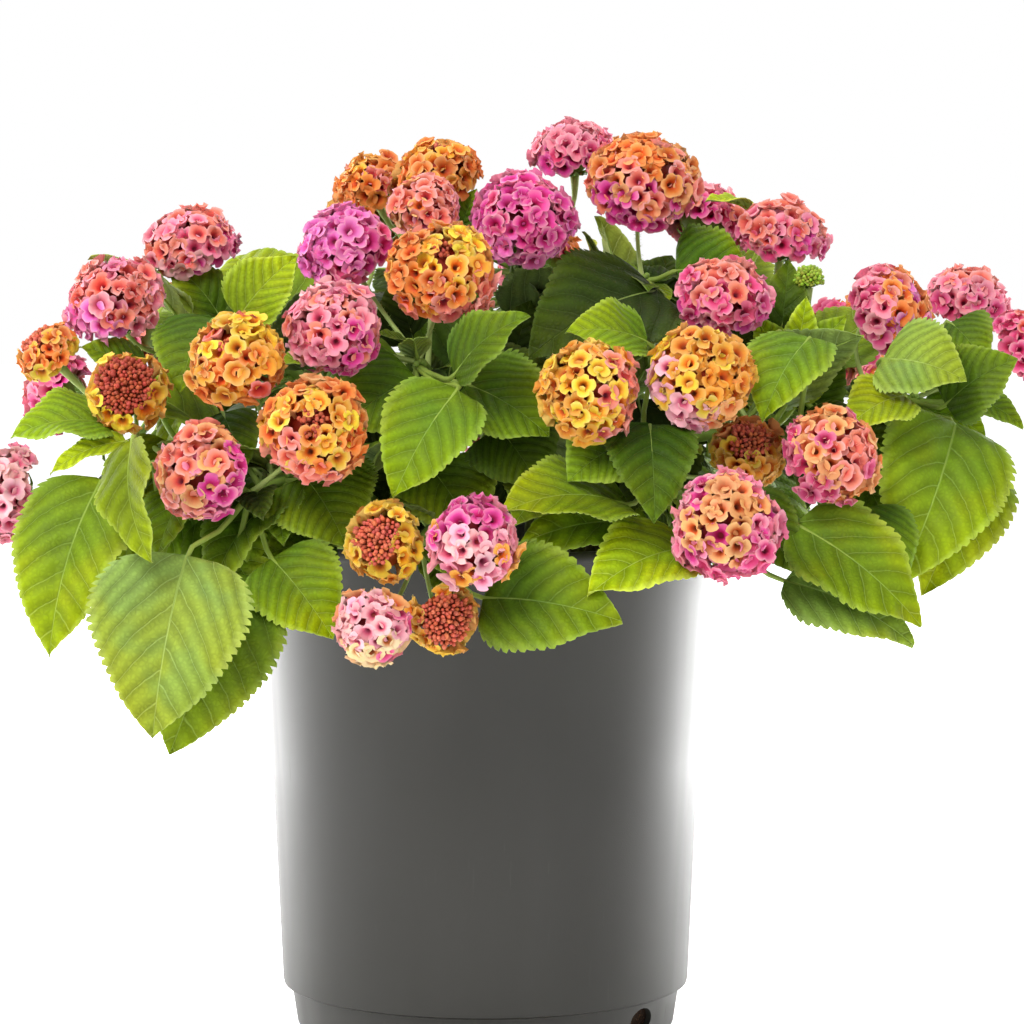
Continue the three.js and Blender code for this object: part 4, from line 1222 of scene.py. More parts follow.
class Stamps:
    """All the shapes that the plant repeats, each modelled once."""

    CANE_SPANS = 14

    def __init__(self) -> None:
        """Models the stamps."""
        self.florets = [
            FloretStamp(1).build(),
            FloretStamp(2, notch=0.4, cup=0.24, curl=0.18).build(),
            FloretStamp(3, cup=0.1, curl=0.04).build(),
            FloretStamp(4, lobes=5, notch=0.3).build(),
            FloretStamp(5, cup=0.32, curl=0.06, ruffle=0.09).build(),
        ]
        self.bud = self.turned_stamp((6, (0.35, -0.1), (0.8, 0.75), (1.0, 1.5), (0.55, 2.05)))
        dome = ((0.1, -0.5), (0.2, -0.42), (0.5, -0.18), (0.66, 0.12), (0.52, 0.42), (0.2, 0.6))
        self.core = self.turned_stamp((14, *dome))
        self.hair = self.turned_stamp((3, (1.0, 0.0), (0.1, 1.0)))
        spans = self.CANE_SPANS
        self.cane = self.turned_stamp((8, *[(1.0, k / spans) for k in range(spans + 1)]))
        self.blades = {grid: self.blade_stamp(*grid.value) for grid in Grid}

    @staticmethod
    def turned_stamp(plan: tuple) -> Stamp:
        """A turned stamp from a number of corners and its circles' radii and heights."""
        corners, *circles = plan
        return Stamp.taken_from(Bench.turned([(corners, radius, height) for radius, height in circles]))

    @staticmethod
    def blade_stamp(along: int, across: int) -> Stamp:
        """A flat blade: a grid given its thickness.

        Args:
            along: How many rows it has from base to tip, where Y goes from 0 to 1.
            across: How many it has across, where X goes from -1 to 1.

        Returns:
            The stamp, 0 above and -1 below.
        """
        bpy.ops.object.select_all(action="DESELECT")
        bpy.ops.mesh.primitive_grid_add(x_subdivisions=across, y_subdivisions=along, size=2)
        made = bpy.context.active_object
        Bench.finish(made, "SOLIDIFY", thickness=1.0, offset=-1.0)
        stamp = Stamp.taken_from(made)
        keen = np.abs(stamp.points[:, :2]).max(axis=1) > 0.999
        return Stamp(stamp.points * (1, 0.5, 1) + (0, 0.5, 0), stamp.corners, stamp.counts, keen)


# ---- leaves


@dataclass(frozen=True)
class Leaf:
    """A leaf's place: the foot of its petiole, the base and tip of its blade, its width and its upper side.

    Attributes:
        foot: Where its petiole leaves the stem.
        base: Where its blade begins.
        tip: Where its blade ends.
        width: The blade's width.
        face: Roughly the way that its upper side faces.
    """

    foot: np.ndarray
    base: np.ndarray
    tip: np.ndarray
    width: float
    face: np.ndarray

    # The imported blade: its teeth, its widest place, its arch, fold and wave, and the lengths from which its
    # edge has more corners. Then the petiole's half width where it meets the blade.
    COARSE_TOOTH = 0.07
    WIDEST = 0.3
    BLUNT = 0.4
    ARCH = 0.24
    FOLD = 0.16
    WAVE = 0.02
    SHORT = 42
    LONG = 62
    PETIOLE = 0.95

    @property
    def length(self) -> float:
        """The length of the blade's chord."""
        return float(np.linalg.norm(self.tip - self.base))

    @property
    def axes(self) -> tuple[np.ndarray, np.ndarray, np.ndarray]:
        """The leaf's own directions.

        Returns:
            Ahead to the tip, aside, and over the upper side.
        """
        ahead = unit(self.tip - self.base)
        side = unit(np.cross(ahead, self.face))
        return ahead, side, np.cross(side, ahead)

    @property
    def midrib(self) -> Bezier:
        """The curve of the midrib."""
        crest = (self.base + self.tip) / 2 + self.axes[2] * self.ARCH * self.length
        return Bezier(np.array([self.base, crest, self.tip]))

    @classmethod
    def outline(cls, along: Any) -> Any:
        """Half the blade's width at a share of its length, in half widths.

        Args:
            along: One or several shares of the length.

        Returns:
            The half widths there.
        """
        s = np.clip(along, 0.0, 1.0)
        power = cls.BLUNT / cls.WIDEST - cls.BLUNT
        peak = cls.WIDEST**cls.BLUNT * (1 - cls.WIDEST) ** power
        return s**cls.BLUNT * (1 - s) ** power / peak

    def lift(self, along: Any, reach: Any, sign: Any) -> Any:
        """How far the blade's edge stands above its midrib."""
        return self.FOLD * reach + self.WAVE * self.length * np.sin(5 * math.pi * along + sign)

    def coarse_edge(self) -> np.ndarray:
        """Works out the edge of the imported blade.

        Returns:
            Its corners, one row each, and its tip.
        """
        parts = 3 + (self.length > self.SHORT) + (self.length > self.LONG)
        _, side, over = self.axes
        rows = []
        for sign in (1, -1):
            k = np.arange(1, 2 * parts)
            t = k / (2 * parts)
            reach = self.width / 2 * self.outline(t) * (1 + self.COARSE_TOOTH * np.where(k % 2, 1, -1))
            lift = self.lift(t, reach, sign)
            rows.append(self.midrib.at(t) + sign * reach[:, None] * side + lift[:, None] * over)
        return np.vstack([*rows, self.tip])

    def swung(self, axis: np.ndarray, angle: float, size: float) -> Leaf:
        """The same leaf swung about its foot and made smaller.

        Args:
            axis: The axis through its foot.
            angle: How far it swings, in radians.
            size: The factor on its size.

        Returns:
            The swung leaf.
        """
        base = rotated((self.base - self.foot) * size, axis, angle) + self.foot
        tip = rotated((self.tip - self.foot) * size, axis, angle) + self.foot
        return Leaf(self.foot, base, tip, self.width * size, rotated(self.face, axis, angle))


class LeafPoses:
    """The poses that a crowded leaf may have taken: swung about its foot, or smaller."""

    STEP = math.radians(7)
    RINGS = 5
    SPOKES = 8
    SHRINKS = (1, 0.84, 0.7)
    # How near, in millimetres, a corner has to be, and the shares of corners for a likely and a sure match.
    NEAR = 0.08
    LIKELY = 0.5
    SURE = 0.95

    @classmethod
    def of(cls, leaf: Leaf) -> Iterator[Leaf]:
        """Goes through every pose of a leaf.

        Args:
            leaf: The leaf as planned.

        Returns:
            One pose after the other.
        """
        line = unit(leaf.tip - leaf.foot)
        side = unit(np.cross(line, leaf.face))
        over = np.cross(side, line)
        for size in cls.SHRINKS:
            for ring in range(cls.RINGS + 1):
                for spoke in range(cls.SPOKES if ring else 1):
                    turn = 2 * math.pi * spoke / cls.SPOKES
                    axis = side * math.cos(turn) + over * math.sin(turn)
                    yield leaf.swung(axis, cls.STEP * ring, size)

    @classmethod
    def grown(cls, leaf: Leaf, corners: KDTree) -> Leaf | None:
        """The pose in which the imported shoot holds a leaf.

        Args:
            leaf: The leaf as planned.
            corners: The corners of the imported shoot, in millimetres.

        Returns:
            The pose whose edge matches those corners, or None where the leaf found no room.
        """
        best, share = None, cls.LIKELY
        for pose in cls.of(leaf):
            edge = pose.coarse_edge()
            met = sum(corners.find(point)[2] < cls.NEAR for point in edge) / len(edge)
            if met > share:
                best, share = pose, met
            if met > cls.SURE:
                break
        return best


@dataclass(frozen=True)
class BladeShape:
    """How a fine blade is shaped over its plan.

    Attributes:
        tooth: Depth of its teeth, in half widths.
        steps: How many rows of the blade there are to a tooth.
        hook: How far the teeth point ahead, in rows.
        pucker: Height of the pillows between its side veins, in lengths.
        thickness: Its thickness, in millimetres.
        laterals: How many side veins there are to its length.
        rise: How steeply they leave the midrib, in lengths.
        bend: How strongly they curve towards the tip.
        sway: How far its margin wanders up and down, in lengths.
    """

    tooth: float = 0.044
    steps: int = 3
    hook: float = 0.7
    pucker: float = 0.01
    thickness: float = 0.45
    laterals: float = 6.2
    rise: float = 0.72
    bend: float = 1.1
    sway: float = 0.02

    def teeth(self, row: np.ndarray, sign: np.ndarray, rng: Random) -> tuple[np.ndarray, np.ndarray]:
        """Draws the teeth of a blade.

        Args:
            row: Each corner's row.
            sign: Its side of the midrib.
            rng: Draws the sizes.

        Returns:
            How far each corner stands out, from -1 to 1, and how far it is drawn ahead, in rows.
        """
        number = (row // self.steps).astype(int)
        sizes = np.array([[rng.uniform(0.45, 1.25) for _ in range(number.max() + 2)] for _ in range(2)])
        place = (row % self.steps).astype(int)
        out = np.array([-1.0, 0.45, 1.0])[place] * sizes[(sign > 0).astype(int), number]
        return out, np.array([0.0, 0.25, 1.0])[place] * self.hook

    def bent(self, leaf: Leaf, stamp: Stamp, rng: Random) -> tuple[np.ndarray, np.ndarray]:
        """Bends a flat blade to its leaf.

        Args:
            leaf: Where it goes.
            stamp: The flat blade.
            rng: Draws what sets one leaf apart from the next.

        Returns:
            The blade's corners, and their places on it for its veins.
        """
        _, side, over = leaf.axes
        across, along, depth = stamp.points.T
        rows = round(1 / np.diff(np.unique(np.round(along, 5))).min())
        sign = np.sign(across)
        margin = np.abs(across) ** 6
        out, drawn = self.teeth(np.round(along * rows), sign, rng)
        ends = eased(0.0, 0.06, along) * eased(0.0, 0.04, 1 - along)
        t = np.clip(along + margin * ends * drawn / rows, 0, 1)
        spread = np.abs(across) ** 0.92
        flat = leaf.width / 2 * leaf.outline(t)
        narrow = leaf.PETIOLE * (1 - t) ** 3 + 0.12
        reach = np.maximum(flat * (1 + self.tooth * out * margin * ends), narrow) * spread
        wave = leaf.WAVE * np.sin(5 * math.pi * t + sign)
        turn = np.where(sign > 0, rng.uniform(0, 6.3), rng.uniform(0, 6.3))
        wander = self.sway * np.sin(rng.uniform(8, 12) * t + turn)
        bow = rng.uniform(-0.04, 0.1) * flat * spread * (1 - spread) * 4
        aside = reach / leaf.length * rng.uniform(0.85, 1.2)
        place = t * rng.uniform(0.85, 1.15)
        phase = (place - aside * (self.rise + self.bend * aside)) * self.laterals + 0.4 * (sign > 0)
        faded = eased(0.0, 0.2, spread) * eased(0.0, 0.12, 1 - spread * 0.92)
        pillow = np.sin(math.pi * (phase % 1)) ** 0.7 * faded
        keel = -0.006 * (1 - eased(0.0, 0.14, spread)) * (1 - t)
        lift = leaf.FOLD * reach + bow
        lift = lift + leaf.length * ((wave + wander) * spread**2 + (self.pucker * pillow + keel) * ends)
        thick = self.thickness * (0.45 + 0.55 * (1 - margin))
        height = lift + np.where(depth < -0.5, -thick / 2, thick / 2)
        points = leaf.midrib.at(t) + (sign * reach)[:, None] * side + height[:, None] * over
        places = np.column_stack([0.5 + sign * aside, place])
        return points, places


class LeafMaker:
    """Lays blades, petioles and their colours into the cluster of a shoot."""

    UNDER = linear("a9bd84")
    STALK = linear("8fa653")
    WIDE = 43
    YOUNG = 28
    UNDER_BLADE = np.array([0.03, 0.3, 0.62, 0.9])
    PETIOLE_RADII = np.array([1.25, 0.95, 0.9, 0.75, 0.5, 0.36, 0.12])

    def __init__(self, stamps: Stamps, shape: BladeShape) -> None:
        """Works with the plant's stamps and one blade shape."""
        self.stamps = stamps
        self.shape = shape

    def colours(self, stamp: Stamp, places: np.ndarray, tone: LeafTone, rng: Random) -> np.ndarray:
        """The colour of each corner, its alpha 1 along the edge for the painted edge highlight.

        Args:
            stamp: The flat blade.
            places: The corners' places on the blade.
            tone: The leaf's tone.
            rng: Draws this leaf's own shade.

        Returns:
            One row of red, green, blue and alpha for each corner.
        """
        low, high = (linear(code) for code in tone.value)
        across, _, depth = stamp.points.T
        spread = np.abs(across)
        share = eased(0.15, 1.0, places[:, 1] * 0.85 + 0.3 * spread**2 + rng.uniform(-0.12, 0.12))
        colour = low + (high - low) * share[:, None]
        shade = rng.uniform(0.88, 1.12)
        colour = colour * shade * np.array([rng.uniform(0.92, 1.1), 1.0, rng.uniform(0.8, 1.2)])
        below = (depth < -0.5)[:, None]
        colour = np.where(below, colour * 0.6 + self.UNDER * 0.3, colour)
        # The alpha marks the margin for the blade's painted edge highlight.
        return np.column_stack([colour, eased(0.86, 1.0, spread)])

    def lay(self, cluster: Cluster, leaf: Leaf, tone: LeafTone, rng: Random) -> None:
        """Adds one leaf with its petiole.

        Args:
            cluster: The shoot's cluster.
            leaf: Where the leaf is.
            tone: Its tone.
            rng: Draws what sets it apart.
        """
        grid = Grid.MEDIUM if leaf.length > self.YOUNG else Grid.YOUNG
        if leaf.width > self.WIDE:
            grid = Grid.LARGE
        stamp = self.stamps.blades[grid]
        points, places = self.shape.bent(leaf, stamp, rng)
        cluster.add(stamp, points, self.colours(stamp, places, tone, rng), places, kind=1)
        self.lay_petiole(cluster, leaf, tone)

    def lay_petiole(self, cluster: Cluster, leaf: Leaf, tone: LeafTone) -> None:
        """Adds the petiole, which runs on under the blade as its midrib.

        Args:
            cluster: Where it goes.
            leaf: The leaf that it carries.
            tone: The leaf's tone.
        """
        over = leaf.axes[2]
        under = leaf.midrib.at(self.UNDER_BLADE) - 0.32 * over
        sag = (leaf.foot + leaf.base) / 2 - 0.06 * np.linalg.norm(leaf.base - leaf.foot) * UP
        path = np.vstack([leaf.foot, sag, leaf.base - 0.1 * over, under])
        green = self.STALK * 0.6 + linear(tone.value[1]) * 0.4
        CaneMaker.lay(cluster, self.stamps.cane, path, self.PETIOLE_RADII, green)


class CaneMaker:
    """Bends straight canes along smooth paths."""

    @staticmethod
    def marks(path: np.ndarray) -> np.ndarray:
        """The share of the whole way at which each of a path's points lies."""
        steps = np.linalg.norm(np.diff(path, axis=0), axis=1)
        return np.concatenate([[0], np.cumsum(steps)]) / steps.sum()

    @classmethod
    def smooth(cls, path: np.ndarray, shares: np.ndarray) -> np.ndarray:
        """Points at shares of the way along a smooth curve through all of a path's points.

        Args:
            path: The points to pass through, one row each.
            shares: Shares of the whole way, from 0 to 1.

        Returns:
            One point for each share.
        """
        marks = cls.marks(path)
        slopes = np.gradient(path, marks, axis=0)
        span = np.clip(np.searchsorted(marks, shares, side="right") - 1, 0, len(path) - 2)
        wide = (marks[span + 1] - marks[span])[:, None]
        u = ((shares - marks[span]) / wide[:, 0])[:, None]
        return (
            (2 * u**3 - 3 * u**2 + 1) * path[span]
            + (u**3 - 2 * u**2 + u) * wide * slopes[span]
            + (3 * u**2 - 2 * u**3) * path[span + 1]
            + (u**3 - u**2) * wide * slopes[span + 1]
        )

    @classmethod
    def lay(
        cls,
        cluster: Cluster,
        stamp: Stamp,
        path: np.ndarray,
        radii: np.ndarray,
        colours: np.ndarray,
        squareness: float = 0.0,
    ) -> None:
        """Adds one cane.

        Args:
            cluster: The shoot's cluster.
            stamp: A straight cane along Z, of length and radius one.
            path: The points that it passes through.
            radii: Its radius at each of them.
            colours: Its colour, or its colours at each of them.
            squareness: How square its section is, from 0, round.
        """
        heights = np.unique(np.round(stamp.points[:, 2], 5))
        line = cls.smooth(path, heights)
        ways = np.gradient(line, axis=0)
        ways /= np.linalg.norm(ways, axis=1, keepdims=True)
        across, _ = square_frame(ways[0])
        frames = []
        for way in ways:
            across = unit(across - way * np.dot(across, way))
            frames.append((across, np.cross(way, across)))
        index = np.searchsorted(heights, np.round(stamp.points[:, 2], 5))
        x, y, _ = stamp.points.T
        angle = np.arctan2(y, x)
        radius = np.interp(heights, cls.marks(path), radii)[index]
        radius = (radius * (1 + squareness * np.cos(4 * angle)) * np.hypot(x, y))[:, None]
        aside, over = np.array(frames)[index].transpose(1, 0, 2)
        sides = radius * np.cos(angle)[:, None] * aside, radius * np.sin(angle)[:, None] * over
        points = line[index] + sides[0] + sides[1]
        shades = np.atleast_2d(colours)
        if len(shades) > 1:
            steps = np.linspace(0, 1, len(path))
            shades = np.column_stack([np.interp(heights[index], steps, shade) for shade in shades.T])
        cluster.add(stamp, points, shades)


# ---- shoots


@dataclass
class LeafyShoot:
    """One leafy stem with its flower stalks, petioles and leaves, in one mesh.

    Attributes:
        plan: What it carries.
        stamps: The plant's stamps.
        maker: Lays its leaves.
        soil_line: Height at which the stem leaves its straight foot.
        stem_foot: Height of the stem's lower end.
        foot_radius: The stem's radius at its foot.
        crown_radius: And at its crown.
        climb: Share of its rise that it climbs upright, and reach, what it climbs besides.
        arrive: How far back over its course the last bend begins.
        hairs: How many hairs it has.
    """

    plan: Shoot
    stamps: Stamps
    maker: LeafMaker
    soil_line: float = 167
    stem_foot: float = 146
    foot_radius: float = 3.2
    crown_radius: float = 1.9
    climb: float = 0.62
    reach: float = 6
    arrive: float = 0.4
    hairs: int = 240

    # Woody brown of the stems' feet, darkened beyond the wood's own colour as painted shade for the shadow
    # under the leaves.
    WOOD_AND_PAINTED_SHADE = linear("5c5130")
    GREEN = linear("7f9c3f")
    PALE = linear("a3b765")
    PAIR_TONES = (DEEP, MID, MID, FRESH)
    # SHADE among the young tones is painted shade for leaves deep inside the plant.
    YOUNG_TONES = (SHADE, DEEP, MID)
    YOUNG_SHARES = (0.56, 0.7, 0.84, 0.97)
    UPPER_SHARES = 0.4 + 0.05 * np.arange(13)
    STALK_RADII = np.array([1.2, 0.9, 0.8, 0.8, 0.95, 1.8])
    PETIOLE = 0.24
    DROOP = 0.35
    BREADTH = 0.7
    HAIR_RADIUS = 0.07

    @property
    def node(self) -> str:
        """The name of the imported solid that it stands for."""
        return f"shoot_{self.plan.place}"

    @property
    def stem(self) -> Bezier:
        """The stem above its straight foot.

        Returns:
            Its curve.
        """
        start = np.array([*self.plan.foot, self.soil_line])
        end = np.array(self.plan.crown, dtype=float)
        rise = start + UP * (self.climb * (end[2] - start[2]) + self.reach)
        over = end + (start - end) * self.arrive
        over[2] = end[2] + self.plan.droop
        return Bezier(np.array([start, rise, over, end]))

    def stalk(self, head: Head) -> Bezier:
        """A flower stalk, from the stem to the seat of its head.

        Args:
            head: The head.

        Returns:
            Its curve.
        """
        start = self.stem.at(head.start)
        axis = unit(head.facing)
        end = np.array(head.centre) - axis * (0.5 * head.radius + 0.3)
        turn = end - axis * 0.45 * np.linalg.norm(start - end)
        return Bezier(np.array([start, turn, end]))

    def by_hand(self, spot: Spot) -> Leaf:
        """A listed leaf, its foot at the nearest point of the upper stem.

        Args:
            spot: Its place in the plan.

        Returns:
            The leaf.
        """
        base = np.array(spot.base, dtype=float)
        tip, face = np.array(spot.tip, dtype=float), np.array(spot.face, dtype=float)
        upper = self.stem.at(self.UPPER_SHARES)
        foot = upper[np.argmin(np.linalg.norm(upper - base, axis=1))]
        return Leaf(foot, base, tip, spot.width, face)

    def by_rule(self, share: float, turn: float, length: float) -> list[Leaf]:
        """Two opposite leaves that spread from the stem and droop to their tips.

        Args:
            share: Their share of the stem.
            turn: Their turn about it, in degrees.
            length: The length of their blades.

        Returns:
            Both leaves.
        """
        foot = self.stem.at(share)
        ahead = self.stem.tangent(share)
        out = unit([*self.plan.crown[:2], 0])
        across = unit(np.cross(ahead, out + 0.2 * UP))
        leaves = []
        for degrees in (turn, turn + 180):
            side = rotated(across, ahead, math.radians(degrees))
            leave = unit(0.9 * side + 0.4 * ahead + 0.35 * out)
            base = foot + leave * self.PETIOLE * length
            tip = base + unit(leave - self.DROOP * UP) * length
            leaves.append(Leaf(foot, base, tip, self.BREADTH * length, 0.5 * out + UP))
        return leaves

    def corners(self) -> KDTree:
        """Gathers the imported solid's corners, for finding each leaf's pose.

        Returns:
            The corners, in millimetres.
        """
        vertices = frame["nodes"][self.node].data.vertices
        tree = KDTree(len(vertices))
        for vertex in vertices:
            tree.insert(vertex.co / MM, vertex.index)
        tree.balance()
        return tree

    def leaves(self) -> list[tuple[Leaf, LeafTone, Random]]:
        """Finds every leaf that grew.

        Returns:
            Each leaf in its packed pose, its tone, and what draws its details.
        """
        planned = [(self.by_hand(spot), spot.tone) for spot in self.plan.leaves]
        draw = Random(f"{self.node} tones")
        for pair in self.plan.pairs:
            planned += [(leaf, draw.choice(self.PAIR_TONES)) for leaf in self.by_rule(*pair)]
        corners = self.corners()
        found = []
        for number, (leaf, tone) in enumerate(planned):
            pose = LeafPoses.grown(leaf, corners)
            if pose is None:
                LOG.info("%s: leaf %d found no room", self.node, number)
            else:
                found.append((pose, tone, Random(f"{self.node} leaf {number}")))
        return found

    def lay_wood(self, cluster: Cluster) -> None:
        """Adds the stem and the flower stalks.

        Args:
            cluster: Where it goes.
        """
        shares = np.linspace(0, 1, 9)
        path = np.vstack([[*self.plan.foot, self.stem_foot], self.stem.at(shares)])
        radii = np.interp([0, *shares], [0, 1], [self.foot_radius, self.crown_radius])
        greenness = eased(0.15, 0.6, np.linspace(0, 1, len(path)))[:, None]
        # The stem's foot takes the woody brown darkened as painted shade.
        colours = self.WOOD_AND_PAINTED_SHADE + (self.GREEN - self.WOOD_AND_PAINTED_SHADE) * greenness
        CaneMaker.lay(cluster, self.stamps.cane, path, radii * 0.92, colours, squareness=0.06)
        for head in self.plan.heads:
            line = self.stalk(head).at(np.linspace(0, 1, len(self.STALK_RADII)))
            CaneMaker.lay(cluster, self.stamps.cane, line, self.STALK_RADII, self.PALE)

    def lay_young(self, cluster: Cluster) -> None:
        """Adds the young leaves, some listed one by one and the others in the axils up the stem.

        Args:
            cluster: Where it goes.
        """
        rng = Random(f"{self.node} young")
        for spot in self.plan.young:
            self.maker.lay(cluster, self.by_hand(spot), spot.tone, rng)
        for share in self.YOUNG_SHARES:
            for leaf in self.by_rule(share, rng.uniform(0, 180), rng.uniform(15, 27)):
                self.maker.lay(cluster, leaf, rng.choice(self.YOUNG_TONES), rng)

    def lay_axils(self, cluster: Cluster, leaves: list[tuple[Leaf, LeafTone, Random]]) -> None:
        """Adds a small bud in each leaf's axil.

        Args:
            cluster: Where it goes.
            leaves: The leaves that grew.
        """
        for leaf, _, rng in leaves:
            way = unit(unit(leaf.base - leaf.foot) + 0.9 * UP)
            size = rng.uniform(1.0, 1.5)
            shape = self.stamps.bud.points * (size, size, size * 1.1)
            points = leaf.foot + way * 1.2 + stood(shape, way)
            cluster.add(self.stamps.bud, points, self.GREEN * rng.uniform(0.8, 1.1))

    def lay_hairs(self, cluster: Cluster) -> None:
        """Adds the short stiff hairs of the stem and stalks.

        Args:
            cluster: Where it goes.
        """
        rng = Random(f"{self.node} hairs")
        lines = [(self.stem, 2.2), *[(self.stalk(head), 1.0) for head in self.plan.heads]]
        for _ in range(self.hairs):
            line, radius = lines[rng.randrange(len(lines))]
            share = rng.random() * 0.96
            way = line.tangent(share)
            across, over = square_frame(way)
            angle = rng.uniform(0, 2 * math.pi)
            out = unit(across * math.cos(angle) + over * math.sin(angle) + 0.35 * way)
            shape = self.stamps.hair.points * (self.HAIR_RADIUS, self.HAIR_RADIUS, rng.uniform(0.7, 1.3))
            points = line.at(share) + out * radius * 0.8 + stood(shape, out)
            cluster.add(self.stamps.hair, points, self.PALE)

    def build(self, finishes: Finishes) -> Object:
        """Makes the shoot.

        Args:
            finishes: The plant's materials.

        Returns:
            The finished piece.
        """
        cluster = Cluster()
        self.lay_wood(cluster)
        leaves = self.leaves()
        for leaf, tone, rng in leaves:
            self.maker.lay(cluster, leaf, tone, rng)
        self.lay_young(cluster)
        self.lay_axils(cluster, leaves)
        self.lay_hairs(cluster)
        made = cluster.piece(f"leafy_{self.node}")
        made.data.materials.append(finishes.stem)
        made.data.materials.append(finishes.blade)
        Bench.hand_over(made, made.name, self.node, "leaf_green", finishes.stem)
        return made


# ---- flower heads


@dataclass
class FlowerHead:
    """One domed head of florets and buds on a green seat, in one mesh.

    Attributes:
        shoot: The place of the shoot that carries it.
        plan: Its place and look.
        stamps: The plant's stamps.
        skirt: Polar angle of its lowest florets.
        dome: Height of the dome, in radii.
        floret_area: Room that a floret takes on the dome, in square millimetres.
        floret_radius: A floret's radius, in millimetres.
        bud_area: Room that a bud takes, in square millimetres.
        bud_radius: A bud's radius, in millimetres.
        underside: Depth of the dome's underside, in radii.
        lumps: How far the dome's broad and its small lumps stand out, in radii.
        bracts: How many green bracts it has underneath.
    """

    shoot: str
    plan: Head
    stamps: Stamps
    skirt: float = 1.85
    dome: float = 0.84
    floret_area: float = 35.0
    floret_radius: float = 4.7
    bud_area: float = 3.1
    bud_radius: float = 0.85
    underside: float = 0.62
    lumps: tuple[float, float] = (0.05, 0.025)
    bracts: int = 9

    SEAT_GREEN = linear("8aa548")
    BRACT_GREEN = linear("6f9434")
    # Where a head's cast takes over, and the ages, from 0 on top to 1 at the skirt, where the tones change.
    CAST_FROM = 0.42
    RING_FROM = 0.4
    SKIRT_FROM = 0.78

    @property
    def node(self) -> str:
        """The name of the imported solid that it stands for."""
        return f"bloom_{self.shoot}_{self.plan.letter}"

    @property
    def centre(self) -> np.ndarray:
        """The head's middle."""
        return np.array(self.plan.centre, dtype=float)

    def axes(self) -> np.ndarray:
        """The head's own axes as rows, Z along the way it faces."""
        way = unit(self.plan.facing)
        return np.array([*square_frame(way), way])

    def spread(self, number: int, low: float, high: float, turn: float) -> np.ndarray:
        """Spreads directions evenly between two polar angles.

        Args:
            number: How many.
            low: The smaller angle, in radians.
            high: The larger angle.
            turn: The bearing of the first.

        Returns:
            The directions in the head's own axes, one row each.
        """
        count = np.arange(number)
        height = np.cos(low) + (np.cos(high) - np.cos(low)) * (count + 0.5) / max(number, 1)
        out = np.sqrt(1 - height**2)
        angle = turn + count * GOLDEN_ANGLE
        return np.column_stack([out * np.cos(angle), out * np.sin(angle), height])

    def area(self, low: float, high: float) -> float:
        """The dome's area between two polar angles, in square millimetres."""
        return 2 * math.pi * self.plan.radius**2 * (math.cos(low) - math.cos(high))

    def surface(self, way: np.ndarray, height: float) -> np.ndarray:
        """A point on the lumpy dome.

        Args:
            way: The direction from its middle.
            height: The share of the head's radius.

        Returns:
            The point in the head's own axes.
        """
        squash = self.dome if way[2] > 0 else self.underside
        bearing = math.atan2(way[1], way[0])
        broad, small = self.lumps
        out = 1 + broad * math.sin(3 * bearing + self.plan.centre[0] + 2 * way[2])
        out += small * math.sin(7 * bearing + self.plan.centre[2] - 5 * way[2])
        return way * (1, 1, squash) * self.plan.radius * height * out

    def tone(self, way: np.ndarray, rng: Random) -> Tone:
        """Picks the tone of one floret.

        Args:
            way: The direction in which it stands, in the plant's axes.
            rng: Draws what sets it apart.

        Returns:
            The tone.
        """
        look = self.plan.look
        if look.spot and rng.random() < look.spots:
            return look.spot
        if look.cast and np.dot(way, unit(look.side)) + rng.uniform(-0.3, 0.3) > self.CAST_FROM:
            return look.cast
        polar = math.acos(float(np.clip(np.dot(way, unit(self.plan.facing)), -1, 1)))
        age = polar / self.skirt + rng.uniform(-0.2, 0.2)
        if age < self.RING_FROM:
            return look.middle
        return look.ring if age < self.SKIRT_FROM else look.skirt

    def floret_colours(self, tone: Tone, ring: np.ndarray, rng: Random) -> np.ndarray:
        """Corner colours of a floret, from a throat in painted shade to a pale rim with a painted highlight.

        Args:
            tone: The floret's tone.
            ring: Which ring each corner is in.
            rng: Draws its own shade.

        Returns:
            One colour for each corner.
        """
        warm = tone in WARM_TONES
        petal = linear(tone.value) * (rng.uniform(0.64, 1.0) if warm else rng.uniform(0.72, 1.06))
        petal = petal * np.array([1.0, rng.uniform(0.86, 1.1), rng.uniform(0.86, 1.1)])
        # The throat's dark brown or crimson is painted shade down the tube's opening; the mouth ring is the
        # floret's own eye.
        throat = linear("5e2400") if warm else linear("6a0428")
        mouth = petal * (0.76, 0.3, 0.14) if warm else petal * (0.72, 0.24, 0.42)
        # The pale rim is partly the petal's own paler margin and partly a painted highlight on its edge.
        pale = linear("ffe09c") if warm else linear("ffc8cc")
        rim = petal + (pale - petal) * (rng.uniform(0.12, 0.45) if warm else rng.uniform(0.2, 0.6))
        petal = petal + (pale - petal) * 0.04
        under = petal * 0.75 + linear("f4d9b8") * 0.18
        return np.array([throat, mouth, petal, rim, under, under * 0.8])[ring].clip(0, 1)

    def lay_core(self, cluster: Cluster, axes: np.ndarray) -> None:
        """Adds the dense core that the florets stand out of: painted shade on top, green underneath.

        Args:
            cluster: Where it goes.
            axes: The head's own axes as rows.
        """
        points = self.stamps.core.points * self.plan.radius
        # Painted shade: the core's top is the ring tone darkened to the shadow that shows between the
        # florets.
        painted_gap_shade = linear(self.plan.look.ring.value) * (0.3, 0.06, 0.06)
        share = eased(-0.1, 0.15, self.stamps.core.points[:, 2])[:, None]
        colours = self.SEAT_GREEN * 0.6 + (painted_gap_shade - self.SEAT_GREEN * 0.6) * share
        cluster.add(self.stamps.core, self.centre + points @ axes, colours)

